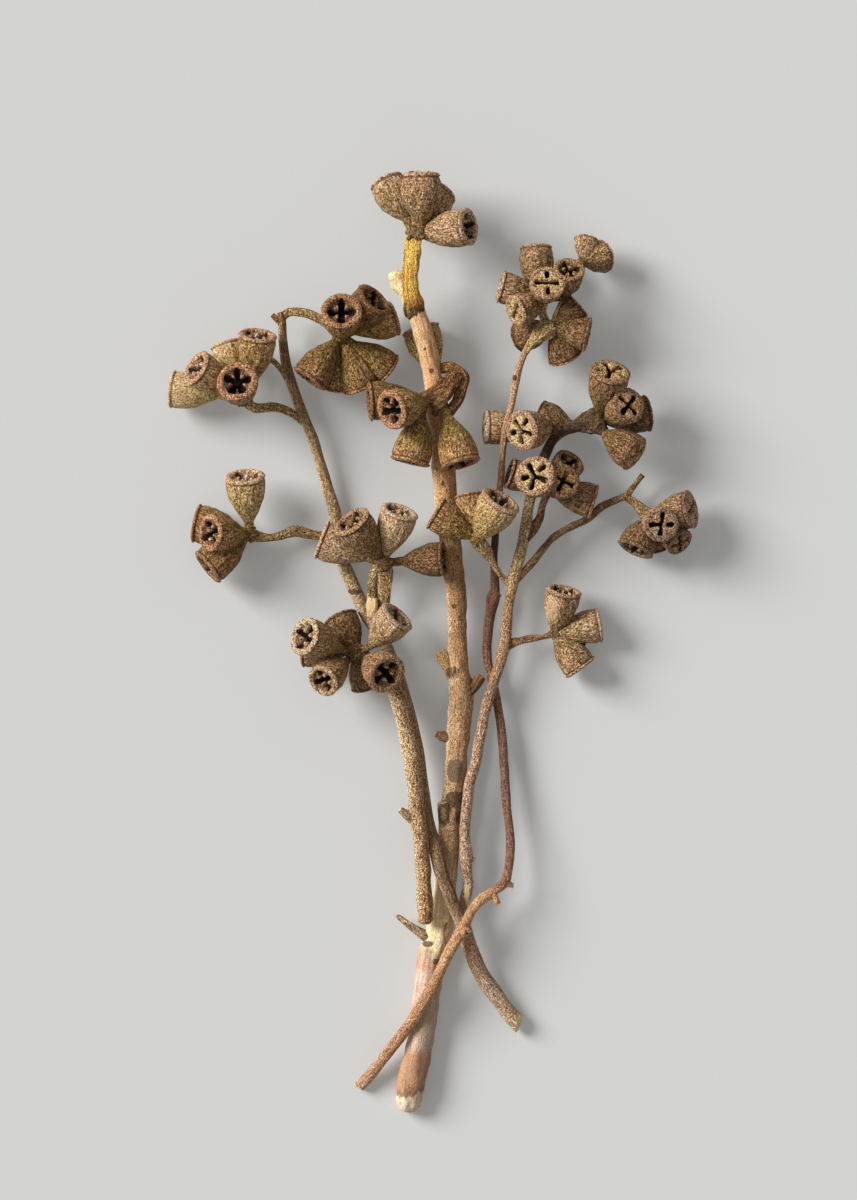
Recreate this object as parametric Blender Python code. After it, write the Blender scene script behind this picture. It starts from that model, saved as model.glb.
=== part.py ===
"""Dried blue gum eucalyptus: five cut branches with woody gum nuts, laid down as one sheaf.

The sheaf lies on the plane z = 0. Its tips point along +Y, its cut ends along -Y, and the side
that faces up is +Z. All the sizes below are in millimetres, and MM turns them into metres.

A route is a list of (x, y, z, radius) along a stem, from its cut end to its tip, or along a
stalk, from the stem that bears it to its nuts. A strap is a flattened stalk: its radius is half
its width. A nut is given by its mouth's middle, its mouth's radius and how many valves it has,
and it grows out of its umbel's hub unless it has a root of its own.
"""
import math
from collections import namedtuple

import bmesh
import bpy
from mathutils import Matrix, Vector

MM = 0.001

# Gaps and floor
SEAT_GAP = 0.34
FLOOR_Z = 0.0

# The middle of the whole sheaf, seen from above, in the frame of the routes and nuts below
MIDDLE = (0.06, -0.35)

# Stems
STEM_STEP = 7.5
STUB_STEP = 4.0
STRAP_STEP = 4.5
LONG_STEP = 100.0
STRAP_FLATNESS = 0.5
MAIN_STEM_SIDES = 10
SIDE_STEM_SIDES = 8
TWIG_SIDES = 6
STRAP_SIDES = 6

# Gum nuts
NUT_LENGTH_IN_RADII = 2.55
NUT_ROOT_DEPTH = 1.2
SMALL_NUT = 5.5
STALK_RADIUS = 1.35
STALK_SIDES = 6
HUB_SIDES = 8
SCRAP_POINTS = 30

# Outer shape of a nut: (share of its length, share of its mouth's radius), foot to rim
NUT_PROFILE = [(0.0, 0.24), (0.58, 0.81), (0.92, 1.0), (1.0, 0.91)]

# A ring inside the mouth: radii and heights, in mouth radii, on a valve and in a slot
Ring = namedtuple("Ring", "valve_radius valve_height slot_radius slot_height")
OPEN_RINGS = [Ring(0.66, -0.03, 0.70, -0.14), Ring(0.24, -0.10, 0.42, -0.62)]
OPEN_CENTRE = -0.66
DISC_RINGS = [Ring(0.74, 0.03, 0.66, -0.05), Ring(0.16, 0.10, 0.36, -0.42)]
DISC_CENTRE = -0.30

Nut = namedtuple("Nut", "mouth radius valves opened turn root", defaults=(4, True, 0, None))
Umbel = namedtuple("Umbel", "hubs stem straps nuts colour")

TAN_WOOD = (0.52, 0.34, 0.17)
SPECKLED_WOOD = (0.36, 0.24, 0.12)
DARK_WOOD = (0.20, 0.13, 0.08)
GREY_WOOD = (0.34, 0.25, 0.16)
RED_WOOD = (0.24, 0.14, 0.09)
OLIVE_NUT = (0.30, 0.21, 0.10)
WARM_NUT = (0.38, 0.25, 0.14)
GREY_NUT = (0.33, 0.24, 0.16)
MAUVE_NUT = (0.32, 0.23, 0.18)

MAIN_STEM = [
    (-8.3, -157.0, 3.6, 3.8), (-7.8, -151.0, 4.0, 4.3), (-7.0, -145.7, 4.4, 4.8), (-4.7, -135.3, 4.2, 4.5),
    (-3.0, -125.3, 4.2, 4.5), (-1.8, -115.0, 4.3, 4.6), (-0.3, -105.0, 4.3, 4.6), (1.8, -97.7, 4.4, 4.5),
    (3.3, -87.7, 4.6, 3.9), (5.0, -74.3, 5.2, 3.5), (5.5, -60.7, 5.8, 3.5), (6.3, -55.3, 6.0, 4.2),
    (7.0, -51.0, 6.2, 3.6), (7.7, -39.3, 6.6, 3.9), (8.8, -26.7, 7.0, 3.9), (9.3, -16.0, 7.3, 4.3),
    (8.5, -9.3, 7.5, 3.6), (8.0, 0.7, 7.8, 3.2), (8.0, 12.3, 8.2, 3.3), (7.0, 22.3, 8.3, 3.4),
    (5.7, 34.0, 8.6, 3.5), (4.3, 45.7, 9.3, 3.8), (3.8, 54.0, 10.2, 4.0), (2.7, 67.3, 12.2, 3.6),
    (1.0, 77.3, 13.6, 3.3), (0.2, 85.7, 14.7, 3.1), (-1.3, 94.0, 15.6, 3.2), (-3.7, 104.0, 16.3, 3.2),
    (-7.3, 114.0, 16.9, 3.1), (-11.0, 119.3, 17.2, 2.3), (-13.0, 122.0, 17.3, 1.5),
]
MAIN_STUBS = [
    [(5.0, -7.5, 7.6, 1.5), (2.6, -3.6, 8.0, 1.2), (1.4, -1.2, 8.4, 0.7)],
    [(9.6, -18.5, 7.5, 2.4), (13.6, -14.4, 8.0, 1.9), (16.0, -11.4, 8.4, 1.6)],
    [(6.0, -31.6, 7.2, 1.9), (2.6, -31.2, 7.6, 1.5), (0.9, -31.0, 7.8, 1.1)],
    [(0.5, -99.5, 5.0, 1.7), (-4.2, -97.8, 5.4, 1.2), (-8.0, -95.0, 5.2, 0.9), (-11.7, -91.3, 4.4, 0.5)],
    [(5.4, -57.4, 6.6, 2.6), (3.2, -56.6, 7.0, 2.1), (2.0, -56.2, 7.2, 1.3)],
]

LEFT_STEM = [
    (-2.7, -93.7, 12.0, 2.5), (-2.8, -87.7, 12.1, 2.6), (-3.5, -74.3, 12.6, 2.6), (-4.3, -64.3, 13.0, 2.6),
    (-5.2, -57.7, 13.1, 2.7), (-6.0, -47.7, 12.8, 2.7), (-7.0, -39.3, 12.6, 3.0), (-8.3, -32.7, 12.3, 2.9),
    (-10.0, -26.0, 12.0, 2.8), (-11.5, -19.3, 11.6, 2.9), (-14.0, -13.3, 11.2, 2.8), (-18.0, -8.7, 10.8, 2.6),
    (-21.0, -6.2, 10.4, 2.3),
]
LEFT_STUBS = [[(-5.2, -60.6, 13.0, 1.4), (-8.4, -57.8, 13.6, 1.1), (-11.3, -55.3, 14.0, 0.7)]]

LONG_STEM = [
    (30.2, -128.8, 3.0, 2.8), (25.4, -123.8, 3.6, 2.7), (20.4, -117.5, 4.7, 2.5), (15.2, -109.6, 6.2, 2.4),
    (12.3, -102.3, 7.8, 2.3), (9.7, -93.7, 9.8, 2.2), (7.3, -88.3, 11.0, 2.2), (5.3, -83.3, 11.7, 2.2),
    (2.8, -76.7, 11.8, 2.2), (1.2, -69.7, 10.8, 2.4), (-1.0, -63.0, 9.1, 2.2), (-2.5, -56.0, 8.0, 2.1),
    (-3.8, -46.0, 7.4, 2.1), (-5.5, -34.3, 6.9, 2.1), (-8.7, -21.0, 6.2, 2.1), (-12.3, -10.0, 5.5, 2.1),
    (-16.7, 0.7, 4.8, 2.2), (-22.0, 9.0, 4.2, 2.3), (-25.7, 16.7, 3.8, 2.3), (-29.5, 25.7, 3.5, 2.2),
    (-31.7, 34.7, 3.4, 2.0), (-32.8, 43.3, 3.9, 2.0), (-35.5, 52.3, 4.8, 1.9), (-37.9, 60.7, 5.9, 1.8),
    (-40.3, 68.3, 6.9, 1.8), (-43.3, 75.7, 7.8, 1.8), (-46.0, 83.0, 8.6, 1.8), (-48.7, 91.3, 9.3, 1.7),
    (-50.0, 100.0, 10.0, 1.5), (-50.3, 106.7, 10.5, 1.4), (-51.0, 109.8, 10.6, 1.1),
]
LONG_STUBS = [[(-50.6, 106.6, 10.5, 1.2), (-53.7, 109.0, 11.0, 0.8)]]

MIDDLE_STEM = [
    (9.4, -89.4, 6.9, 1.7), (11.7, -82.0, 7.8, 1.9), (11.2, -76.0, 8.2, 1.8), (11.0, -71.3, 8.5, 2.2),
    (10.6, -63.0, 8.9, 1.8), (11.3, -54.7, 10.3, 1.8), (12.5, -46.0, 10.4, 1.8), (14.2, -40.0, 10.2, 1.8),
    (16.0, -30.0, 9.8, 1.8), (18.3, -19.7, 9.5, 1.8), (22.0, -8.0, 9.3, 1.8), (24.0, -1.0, 9.3, 2.0),
    (24.7, 7.3, 9.3, 1.7), (25.5, 14.0, 9.3, 1.7), (26.7, 20.7, 9.4, 2.1), (28.8, 28.0, 9.5, 1.9),
    (30.5, 35.7, 9.5, 1.9), (31.7, 44.0, 9.5, 1.8), (33.0, 50.0, 9.3, 1.8), (35.0, 56.0, 9.3, 1.7),
    (37.3, 62.3, 10.0, 1.7), (39.7, 67.0, 11.0, 1.7), (43.0, 70.0, 12.0, 1.9), (47.3, 72.0, 12.7, 2.1),
    (51.0, 72.7, 13.1, 2.4),
]
# Side twigs of the middle stem: the one that bears the top middle nuts, the long one that bears
# the right nuts, that one's cut fork, and a knot
MIDDLE_STUBS = [
    [(30.0, 34.0, 9.4, 1.7), (33.0, 37.6, 9.1, 1.8), (35.2, 41.3, 9.0, 1.4), (36.6, 45.7, 9.2, 1.2),
     (38.0, 49.4, 9.7, 1.2)],
    [(26.7, 20.0, 9.2, 1.7), (29.3, 22.3, 9.0, 1.2), (33.3, 26.7, 8.6, 1.2), (40.0, 34.7, 7.8, 1.2),
     (46.0, 38.3, 7.0, 1.2), (52.3, 41.6, 6.0, 1.2), (56.0, 45.0, 6.2, 1.3), (60.0, 46.9, 6.7, 1.2),
     (64.3, 48.6, 7.1, 1.4)],
    [(63.8, 48.2, 7.1, 1.2), (67.0, 52.0, 7.5, 1.0), (69.9, 55.6, 7.9, 1.0)],
    [(11.2, -71.6, 8.5, 1.7), (13.4, -73.0, 8.7, 1.0)],
]

SLENDER_STEM = [
    (-25.0, -149.0, 2.2, 1.8), (-19.8, -143.0, 3.9, 1.9), (-13.0, -134.3, 7.0, 1.9), (-6.5, -125.3, 10.1, 1.9),
    (-0.3, -115.0, 11.9, 1.8), (4.7, -104.7, 13.1, 1.8), (9.3, -96.3, 14.3, 1.9), (12.7, -89.7, 14.3, 1.6),
    (16.0, -85.7, 13.6, 1.8), (19.7, -83.3, 12.6, 1.5), (23.7, -80.3, 11.2, 1.7), (25.0, -76.3, 10.3, 1.5),
    (25.7, -69.3, 9.3, 1.5), (25.5, -62.7, 8.6, 1.5), (24.3, -52.0, 7.6, 1.5), (23.7, -40.0, 6.8, 1.5),
    (22.8, -30.0, 6.2, 1.5), (21.3, -19.7, 5.6, 1.5), (19.7, -12.7, 5.3, 1.5), (18.2, -6.0, 5.4, 1.5),
    (18.2, 2.3, 6.0, 1.6), (19.2, 9.7, 6.7, 1.7), (20.0, 14.6, 7.2, 2.2), (20.6, 18.6, 8.0, 1.5),
    (20.3, 27.3, 9.9, 1.2), (20.7, 33.7, 11.6, 1.2), (21.3, 40.7, 13.2, 1.1), (22.0, 49.0, 15.3, 1.1),
    (22.7, 56.0, 16.8, 1.1), (23.2, 64.0, 18.0, 1.1), (24.3, 72.0, 18.7, 1.1), (25.7, 77.3, 18.6, 1.1),
    (26.8, 82.3, 18.0, 1.1), (27.5, 87.3, 17.4, 1.4), (29.3, 93.3, 16.8, 1.1), (32.0, 99.0, 16.3, 1.1),
    (34.7, 102.6, 16.0, 1.2), (37.2, 104.4, 15.7, 1.2),
]
SLENDER_STUBS = [
    [(20.0, 15.2, 7.4, 1.9), (22.0, 16.4, 7.4, 1.3)],
    [(19.7, -83.8, 12.8, 1.4), (21.6, -87.2, 12.9, 1.0)],
    [(24.0, -80.4, 11.2, 1.3), (26.6, -81.2, 11.3, 0.8)],
]

UMBELS = {
    "crown_nuts": Umbel(
        hubs=[(-6.3, 135.7, 21.0, 2.7)],
        stem="main_stem",
        straps=[[(-7.0, 107.5, 17.6, 1.6), (-7.2, 112.0, 19.6, 2.3), (-7.7, 119.0, 20.6, 2.8),
                 (-7.2, 127.0, 21.2, 3.0), (-6.3, 134.5, 21.2, 2.7)]],
        nuts=[
            Nut((-4.3, 156.0, 22.3), 6.7),
            Nut((-15.3, 154.0, 16.5), 6.0),
            Nut((3.4, 149.0, 13.0), 6.0),
            Nut((12.3, 138.0, 28.0), 6.6, 5),
        ],
        colour=WARM_NUT,
    ),
    "hidden_nut": Umbel(
        hubs=[(2.3, 84.7, 8.6, 1.6)],
        stem="main_stem",
        straps=[[(0.6, 78.6, 12.6, 1.5), (3.0, 81.0, 10.0, 1.4), (2.4, 84.7, 8.7, 1.6)]],
        nuts=[Nut((-4.3, 104.7, 5.9), 6.3)],
        colour=OLIVE_NUT,
    ),
    "shoulder_nuts": Umbel(
        hubs=[(2.4, 79.4, 20.0, 2.5), (-2.6, 80.8, 18.9, 2.4)],
        stem="main_stem",
        straps=[
            [(1.5, 91.0, 15.2, 1.5), (5.6, 89.6, 15.6, 1.9), (9.4, 86.8, 16.4, 1.7), (7.6, 82.0, 18.4, 1.6),
             (3.0, 79.4, 20.0, 2.2)],
            [(5.0, 78.0, 20.0, 2.2), (-3.2, 80.8, 19.0, 2.2)],
        ],
        nuts=[
            Nut((-14.0, 77.0, 31.0), 6.7, 4, True, 0, (-2.3, 80.0, 19.5)),
            Nut((-21.3, 80.0, 20.0), 6.7, 4, True, 45, (-3.0, 81.4, 18.0)),
            Nut((-7.7, 59.7, 20.3), 6.7, 4, True, 20),
            Nut((9.3, 59.0, 24.0), 6.7, 5, True, 0, (4.7, 75.9, 20.3)),
        ],
        colour=OLIVE_NUT,
    ),
    "upper_left_nuts": Umbel(
        hubs=[(-30.7, 102.3, 13.0, 2.8)],
        stem="long_stem",
        straps=[[(-50.6, 107.6, 10.5, 1.3), (-47.7, 109.9, 11.0, 1.4), (-42.7, 109.7, 12.0, 1.5),
                 (-37.7, 107.7, 12.6, 1.6), (-33.5, 104.8, 13.0, 2.0), (-30.7, 102.3, 13.0, 2.2)]],
        nuts=[
            Nut((-30.3, 110.0, 28.5), 6.8),
            Nut((-19.3, 114.0, 21.5), 6.7, 4, True, 45),
            Nut((-12.7, 108.0, 9.5), 6.0),
            Nut((-41.3, 87.3, 15.0), 6.3),
            Nut((-31.7, 84.7, 6.6), 5.3),
            Nut((-23.7, 84.7, 9.5), 6.3),
            Nut((-15.0, 90.7, 7.5), 6.0),
        ],
        colour=OLIVE_NUT,
    ),
    "far_left_nuts": Umbel(
        hubs=[(-63.3, 81.3, 12.0, 2.8)],
        stem="long_stem",
        straps=[
            [(-43.3, 73.6, 7.8, 1.3), (-47.7, 76.7, 9.0, 1.3), (-52.7, 78.3, 10.0, 1.4),
             (-59.3, 78.0, 11.2, 1.6), (-63.3, 81.3, 12.0, 2.0)],
            [(-48.0, 87.0, 8.8, 1.1), (-51.3, 91.7, 10.4, 1.0), (-54.3, 94.0, 12.0, 1.1),
             (-58.0, 92.0, 14.4, 1.2)],
        ],
        nuts=[
            Nut((-65.0, 86.7, 28.0), 6.8, 5),
            Nut((-79.0, 91.3, 22.0), 6.3),
            Nut((-87.2, 84.4, 8.5), 6.3),
            Nut((-69.0, 99.7, 9.5), 5.7),
            Nut((-58.3, 102.3, 19.5), 6.5, 4, True, 45, (-60.0, 85.3, 13.0)),
        ],
        colour=OLIVE_NUT,
    ),
    "left_nuts": Umbel(
        hubs=[(-61.0, 36.0, 8.5, 2.7)],
        stem="long_stem",
        straps=[[(-32.0, 35.3, 3.6, 1.3), (-38.7, 35.5, 4.6, 1.6), (-46.0, 37.0, 6.5, 1.9),
                 (-51.0, 35.4, 7.3, 1.4), (-55.0, 34.7, 8.0, 1.4), (-61.0, 36.0, 8.5, 2.0)]],
        nuts=[
            Nut((-62.7, 55.3, 16.5), 6.7, 4, True, 30),
            Nut((-74.3, 36.3, 20.5), 6.1, 4, True, 30),
            Nut((-79.3, 39.7, 6.2), 6.6),
            Nut((-75.3, 24.7, 12.0), 6.5, 4, True, 20),
        ],
        colour=OLIVE_NUT,
    ),
    "inner_left_nuts": Umbel(
        hubs=[(-16.6, 26.3, 13.3, 3.0)],
        stem="long_stem",
        straps=[[(-17.4, 2.4, 5.2, 1.5), (-17.8, 7.0, 6.8, 1.7), (-17.8, 12.5, 9.2, 2.6),
                 (-18.0, 18.0, 11.2, 3.2), (-17.4, 24.0, 12.9, 3.2)]],
        nuts=[
            Nut((-37.4, 34.2, 12.9), 6.7, 4, True, 45),
            Nut((-27.3, 40.3, 22.5), 6.7, 4, True, 20),
            Nut((-11.0, 43.7, 20.0), 6.5, 4, True, 10),
            Nut((3.7, 27.7, 17.1), 5.8, 4, True, 45, (-13.0, 26.7, 13.3)),
        ],
        colour=WARM_NUT,
    ),
    "lower_left_nuts": Umbel(
        hubs=[(-25.5, -3.6, 10.2, 3.2)],
        stem="left_stem",
        straps=[[(-19.6, -7.0, 10.6, 2.2), (-25.5, -3.6, 10.2, 2.6)]],
        nuts=[
            Nut((-43.0, 2.0, 23.0), 6.7, 4, False, 60, (-30.7, -2.3, 12.0)),
            Nut((-31.0, 8.3, 5.8), 5.8, 4, True, 45),
            Nut((-36.7, -13.0, 21.5), 5.8, 4, False, 15, (-28.3, -6.0, 10.5)),
            Nut((-15.3, -10.7, 25.0), 6.7, 4, True, 45, (-22.3, -5.3, 12.0)),
            Nut((-11.7, 8.7, 17.5), 6.5, 4, True, 45, (-21.0, -1.3, 12.5)),
            Nut((-43.3, -2.7, 7.0), 5.7),
            Nut((-22.6, -15.2, 6.2), 4.9),
        ],
        colour=WARM_NUT,
    ),
    "inner_middle_nuts": Umbel(
        hubs=[(14.7, 34.3, 20.0, 2.6)],
        stem="middle_stem",
        straps=[[(25.2, 19.2, 9.6, 0.9), (21.7, 23.4, 12.0, 1.0), (18.9, 28.0, 14.9, 1.5),
                 (16.4, 31.8, 18.2, 2.4), (14.7, 34.3, 20.0, 2.6)]],
        nuts=[
            Nut((0.7, 43.0, 19.5), 6.0, 4, True, 20),
            Nut((22.7, 47.3, 26.5), 7.0, 5),
            Nut((12.3, 49.0, 17.2), 5.3),
        ],
        colour=OLIVE_NUT,
    ),
    "top_inner_nuts": Umbel(
        hubs=[(40.8, 71.3, 12.2, 2.5)],
        stem="middle_stem",
        straps=[[(43.4, 71.2, 12.4, 2.0), (38.6, 71.0, 11.0, 2.0)]],
        nuts=[
            Nut((29.3, 70.3, 25.0), 6.7, 5, False, 10, (39.0, 71.3, 13.0)),
            Nut((17.4, 71.6, 12.5), 6.0, 4, False, 30, (36.6, 71.0, 9.8)),
            Nut((36.0, 75.3, 8.0), 5.4, 4, True, 0, (46.0, 72.6, 11.6)),
        ],
        colour=GREY_NUT,
    ),
    "top_right_nuts": Umbel(
        hubs=[(55.0, 73.7, 13.5, 2.9)],
        stem="middle_stem",
        straps=[[(50.4, 72.7, 13.1, 2.4), (55.0, 73.5, 13.5, 2.8)],
                [(55.0, 73.5, 13.5, 2.2), (56.7, 69.7, 13.5, 1.9)]],
        nuts=[
            Nut((59.0, 90.0, 25.5), 6.8, 5, False, 20),
            Nut((65.0, 78.7, 26.0), 6.1, 4, False, 45, (58.0, 75.3, 14.5)),
            Nut((71.7, 76.3, 9.5), 6.3),
            Nut((67.2, 62.5, 18.3), 6.4, 4, False, 30, (56.7, 69.7, 13.5)),
        ],
        colour=GREY_NUT,
    ),
    "top_middle_nuts": Umbel(
        hubs=[(38.7, 51.3, 10.2, 2.1)],
        stem="middle_stem",
        straps=[[(37.4, 48.0, 9.5, 1.3), (38.7, 51.3, 10.2, 1.8)]],
        nuts=[
            Nut((33.7, 55.3, 25.0), 6.9, 5, False, 20, (38.4, 52.0, 12.5)),
            Nut((43.3, 53.7, 22.5), 5.9, 4, False, 20),
            Nut((45.7, 60.0, 18.0), 5.5, 4, True, 20),
            Nut((53.7, 46.7, 9.6), 6.0, 4, True, 45),
            Nut((25.3, 56.3, 15.7), 5.3, 4, True, 45, (37.6, 52.3, 13.4)),
        ],
        colour=GREY_NUT,
    ),
    "right_nuts": Umbel(
        hubs=[(72.3, 41.3, 8.8, 2.6)],
        stem="middle_stem",
        straps=[[(64.6, 48.4, 7.2, 1.2), (67.7, 46.0, 7.6, 1.5), (70.3, 43.3, 8.3, 2.2),
                 (72.3, 41.3, 8.8, 2.6)]],
        nuts=[
            Nut((76.0, 39.0, 22.0), 5.9, 4, False, 0),
            Nut((86.0, 44.3, 14.0), 6.6, 4, False, 30),
            Nut((82.3, 33.0, 15.0), 5.0, 4, False, 30, (76.0, 39.7, 8.5)),
            Nut((67.3, 30.7, 12.0), 6.5, 4, True, 20),
            Nut((74.3, 31.7, 4.0), 5.3),
        ],
        colour=MAUVE_NUT,
    ),
    "lower_right_nuts": Umbel(
        hubs=[(40.7, 3.0, 8.0, 2.2)],
        stem="middle_stem",
        straps=[[(24.2, -1.6, 9.3, 1.7), (27.0, -0.2, 9.1, 1.5), (31.5, 1.1, 8.7, 1.3),
                 (36.8, 1.7, 8.3, 0.8), (40.7, 3.0, 8.0, 1.6)]],
        nuts=[
            Nut((43.7, 17.3, 8.0), 6.1, 4, True, 45),
            Nut((55.7, 5.7, 7.0), 6.0),
            Nut((49.3, -8.7, 7.2), 6.0),
            Nut((48.0, -3.3, 4.6), 4.5),
        ],
        colour=WARM_NUT,
    ),
    "far_top_nuts": Umbel(
        hubs=[(40.0, 104.9, 15.5, 2.2), (37.0, 114.3, 16.0, 2.2), (49.7, 126.5, 14.5, 1.8)],
        stem="slender_stem",
        straps=[
            [(36.6, 103.9, 15.8, 1.3), (40.0, 104.9, 15.5, 1.8)],
            [(38.6, 105.2, 15.6, 1.5), (36.4, 109.5, 15.9, 1.4), (37.0, 114.3, 16.0, 1.7)],
            [(40.2, 105.4, 15.6, 1.5), (44.3, 115.2, 16.0, 1.5), (47.3, 122.3, 15.4, 1.3),
             (49.7, 126.5, 14.5, 1.4)],
        ],
        nuts=[
            Nut((51.7, 102.3, 16.5), 5.7, 4, True, 45),
            Nut((43.3, 94.7, 5.6), 5.7),
            Nut((48.3, 112.3, 15.0), 5.0),
            Nut((29.0, 101.7, 7.0), 5.3),
            Nut((45.3, 124.0, 25.0), 5.7, 4, False, 30, (44.2, 115.2, 16.4)),
            Nut((38.0, 119.3, 28.0), 5.9, 4, False, 0, (37.0, 114.6, 16.4)),
            Nut((34.7, 131.7, 13.0), 5.7, 4, True, 0, (37.0, 114.6, 16.0)),
            Nut((22.3, 118.3, 17.0), 5.7, 4, True, 45, (37.0, 114.3, 16.0)),
            Nut((27.3, 110.0, 22.5), 4.8, 4, False, 30, (37.0, 114.0, 16.0)),
            Nut((51.2, 134.0, 10.5), 4.3, 4, True, 0, (49.7, 126.5, 14.5)),
            Nut((56.3, 128.7, 8.5), 5.7, 4, True, 0, (49.7, 126.5, 14.5)),
        ],
        colour=WARM_NUT,
    ),
}

Stem = namedtuple("Stem", "route stubs sides colour roughness")
STEMS = {
    "main_stem": Stem(MAIN_STEM, MAIN_STUBS, MAIN_STEM_SIDES, TAN_WOOD, 0.5),
    "left_stem": Stem(LEFT_STEM, LEFT_STUBS, SIDE_STEM_SIDES, SPECKLED_WOOD, 0.6),
    "long_stem": Stem(LONG_STEM, LONG_STUBS, SIDE_STEM_SIDES, DARK_WOOD, 0.65),
    "middle_stem": Stem(MIDDLE_STEM, MIDDLE_STUBS, SIDE_STEM_SIDES, GREY_WOOD, 0.6),
    "slender_stem": Stem(SLENDER_STEM, SLENDER_STUBS, TWIG_SIDES, RED_WOOD, 0.55),
}

# Slanting cut ends: (stem, point of the cut, outward normal of the cut)
SLANTED_CUTS = [
    ("long_stem", (28.4, -128.2, 2.8), (1.0, -0.35, 0.25)),
    ("middle_stem", (10.2, -86.8, 7.2), (-0.75, -0.9, 0.45)),
    ("slender_stem", (-24.2, -148.2, 2.2), (-0.9, -0.25, 0.0)),
]


def clear_scene():
    """Remove whatever the scene starts with."""
    for item in list(bpy.data.objects):
        bpy.data.objects.remove(item)


def new_collection(name):
    """A collection linked to the scene."""
    collection = bpy.data.collections.new(name)
    bpy.context.scene.collection.children.link(collection)
    return collection


def plain_material(name, colour, roughness):
    """A Principled material of one colour."""
    material = bpy.data.materials.new(name)
    material.use_nodes = True
    shader = material.node_tree.nodes["Principled BSDF"]
    shader.inputs["Base Color"].default_value = (*colour, 1.0)
    shader.inputs["Roughness"].default_value = roughness
    shader.inputs["Metallic"].default_value = 0.0
    return material


def smooth_route(route, step):
    """Points about step apart on a smooth curve through the route's own points."""
    ends = [route[0], *route, route[-1]]
    points = []
    for before, start, end, after in zip(ends, ends[1:], ends[2:], ends[3:]):
        length = (Vector(end[:3]) - Vector(start[:3])).length
        pieces = max(1, round(length / step))
        for piece in range(pieces):
            t = piece / pieces
            points.append([
                0.5 * (2 * b + (c - a) * t + (2 * a - 5 * b + 4 * c - d) * t ** 2
                       + (3 * b - a - 3 * c + d) * t ** 3)
                for a, b, c, d in zip(before, start, end, after)
            ])
    points.append(list(route[-1]))
    return points


def beyond(inner, end, distance):
    """The point that carries a route on past its end."""
    start = Vector(end[:3])
    onward = (start - Vector(inner[:3])).normalized() * distance
    return [*(start + onward), end[3]]


def section_curve(sides, flatness):
    """The closed outline that a strap is drawn through: an ellipse of half-width one."""
    curve = bpy.data.curves.new("section", "CURVE")
    spline = curve.splines.new("POLY")
    spline.points.add(sides - 1)
    for index, point in enumerate(spline.points):
        angle = 2 * math.pi * index / sides
        point.co = (MM * math.cos(angle), MM * flatness * math.sin(angle), 0.0, 1.0)
    spline.use_cyclic_u = True
    section = bpy.data.objects.new("section", curve)
    bpy.context.scene.collection.objects.link(section)
    return section


def tube(name, route, sides, step, collection, flatness=1.0, extra=0.0):
    """A stem, stub or strap along a route, as a closed mesh with capped ends."""
    curve = bpy.data.curves.new(name, "CURVE")
    curve.dimensions = "3D"
    curve.twist_mode = "Z_UP"
    points = smooth_route(route, step)
    if extra:
        points = [beyond(points[1], points[0], extra), *points, beyond(points[-2], points[-1], extra)]
    spline = curve.splines.new("POLY")
    spline.points.add(len(points) - 1)
    for point, (x, y, z, radius) in zip(spline.points, points):
        point.co = (x * MM, y * MM, z * MM, 1.0)
        point.radius = radius + extra
    section = section_curve(sides, flatness)
    curve.bevel_mode = "OBJECT"
    curve.bevel_object = section
    curve.use_fill_caps = True
    holder = bpy.data.objects.new(name + "_curve", curve)
    bpy.context.scene.collection.objects.link(holder)
    mesh = evaluated_mesh(holder)
    bpy.data.objects.remove(holder)
    bpy.data.objects.remove(section)
    return link_mesh(name, mesh, collection)


def evaluated_mesh(holder):
    """The object's mesh as it is shown, with the curve's caps welded on."""
    depsgraph = bpy.context.evaluated_depsgraph_get()
    depsgraph.update()
    mesh = bpy.data.meshes.new_from_object(holder.evaluated_get(depsgraph))
    weld(mesh)
    return mesh


def weld(mesh):
    """Join points that coincide and turn every face outwards."""
    shape = bmesh.new()
    shape.from_mesh(mesh)
    bmesh.ops.remove_doubles(shape, verts=shape.verts, dist=0.00001)
    bmesh.ops.recalc_face_normals(shape, faces=shape.faces)
    shape.to_mesh(mesh)
    shape.free()


def link_mesh(name, mesh, collection):
    """A new object of this mesh in the collection."""
    mesh.name = name
    item = bpy.data.objects.new(name, mesh)
    collection.objects.link(item)
    return item


def ball(name, centre, radius, collection):
    """The swelling at an umbel's hub."""
    shape = bmesh.new()
    place = Matrix.Translation(Vector(centre) * MM)
    bmesh.ops.create_uvsphere(shape, u_segments=HUB_SIDES, v_segments=5, radius=radius * MM, matrix=place)
    mesh = bpy.data.meshes.new(name)
    shape.to_mesh(mesh)
    shape.free()
    return link_mesh(name, mesh, collection)


def facing(direction, turn):
    """A rotation whose Z is the direction and whose X, before the turn, leans towards +Y."""
    axis = direction.normalized()
    lean = Vector((0.0, 1.0, 0.0))
    if abs(axis.y) > 0.9:
        lean = Vector((1.0, 0.0, 0.0))
    side = (lean - axis * lean.dot(axis)).normalized()
    turned = Matrix.Rotation(math.radians(turn), 3, axis) @ side
    return Matrix((turned, axis.cross(turned), axis)).transposed()


def mouth_rings(nut, length):
    """The rings inside a nut's rim: raised on its valves, sunk in the slots between them."""
    rings = OPEN_RINGS if nut.opened else DISC_RINGS
    samples = 3 if nut.valves == 4 and nut.radius > SMALL_NUT else 2
    sides = nut.valves * samples
    loops = []
    for ring in rings:
        loop = []
        for index in range(sides):
            angle = 2 * math.pi * index / sides
            in_slot = index % samples == 0
            radius = nut.radius * (ring.slot_radius if in_slot else ring.valve_radius)
            height = nut.radius * (ring.slot_height if in_slot else ring.valve_height)
            loop.append((radius * math.cos(angle), radius * math.sin(angle), length + height))
        loops.append(loop)
    return sides, loops


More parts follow.
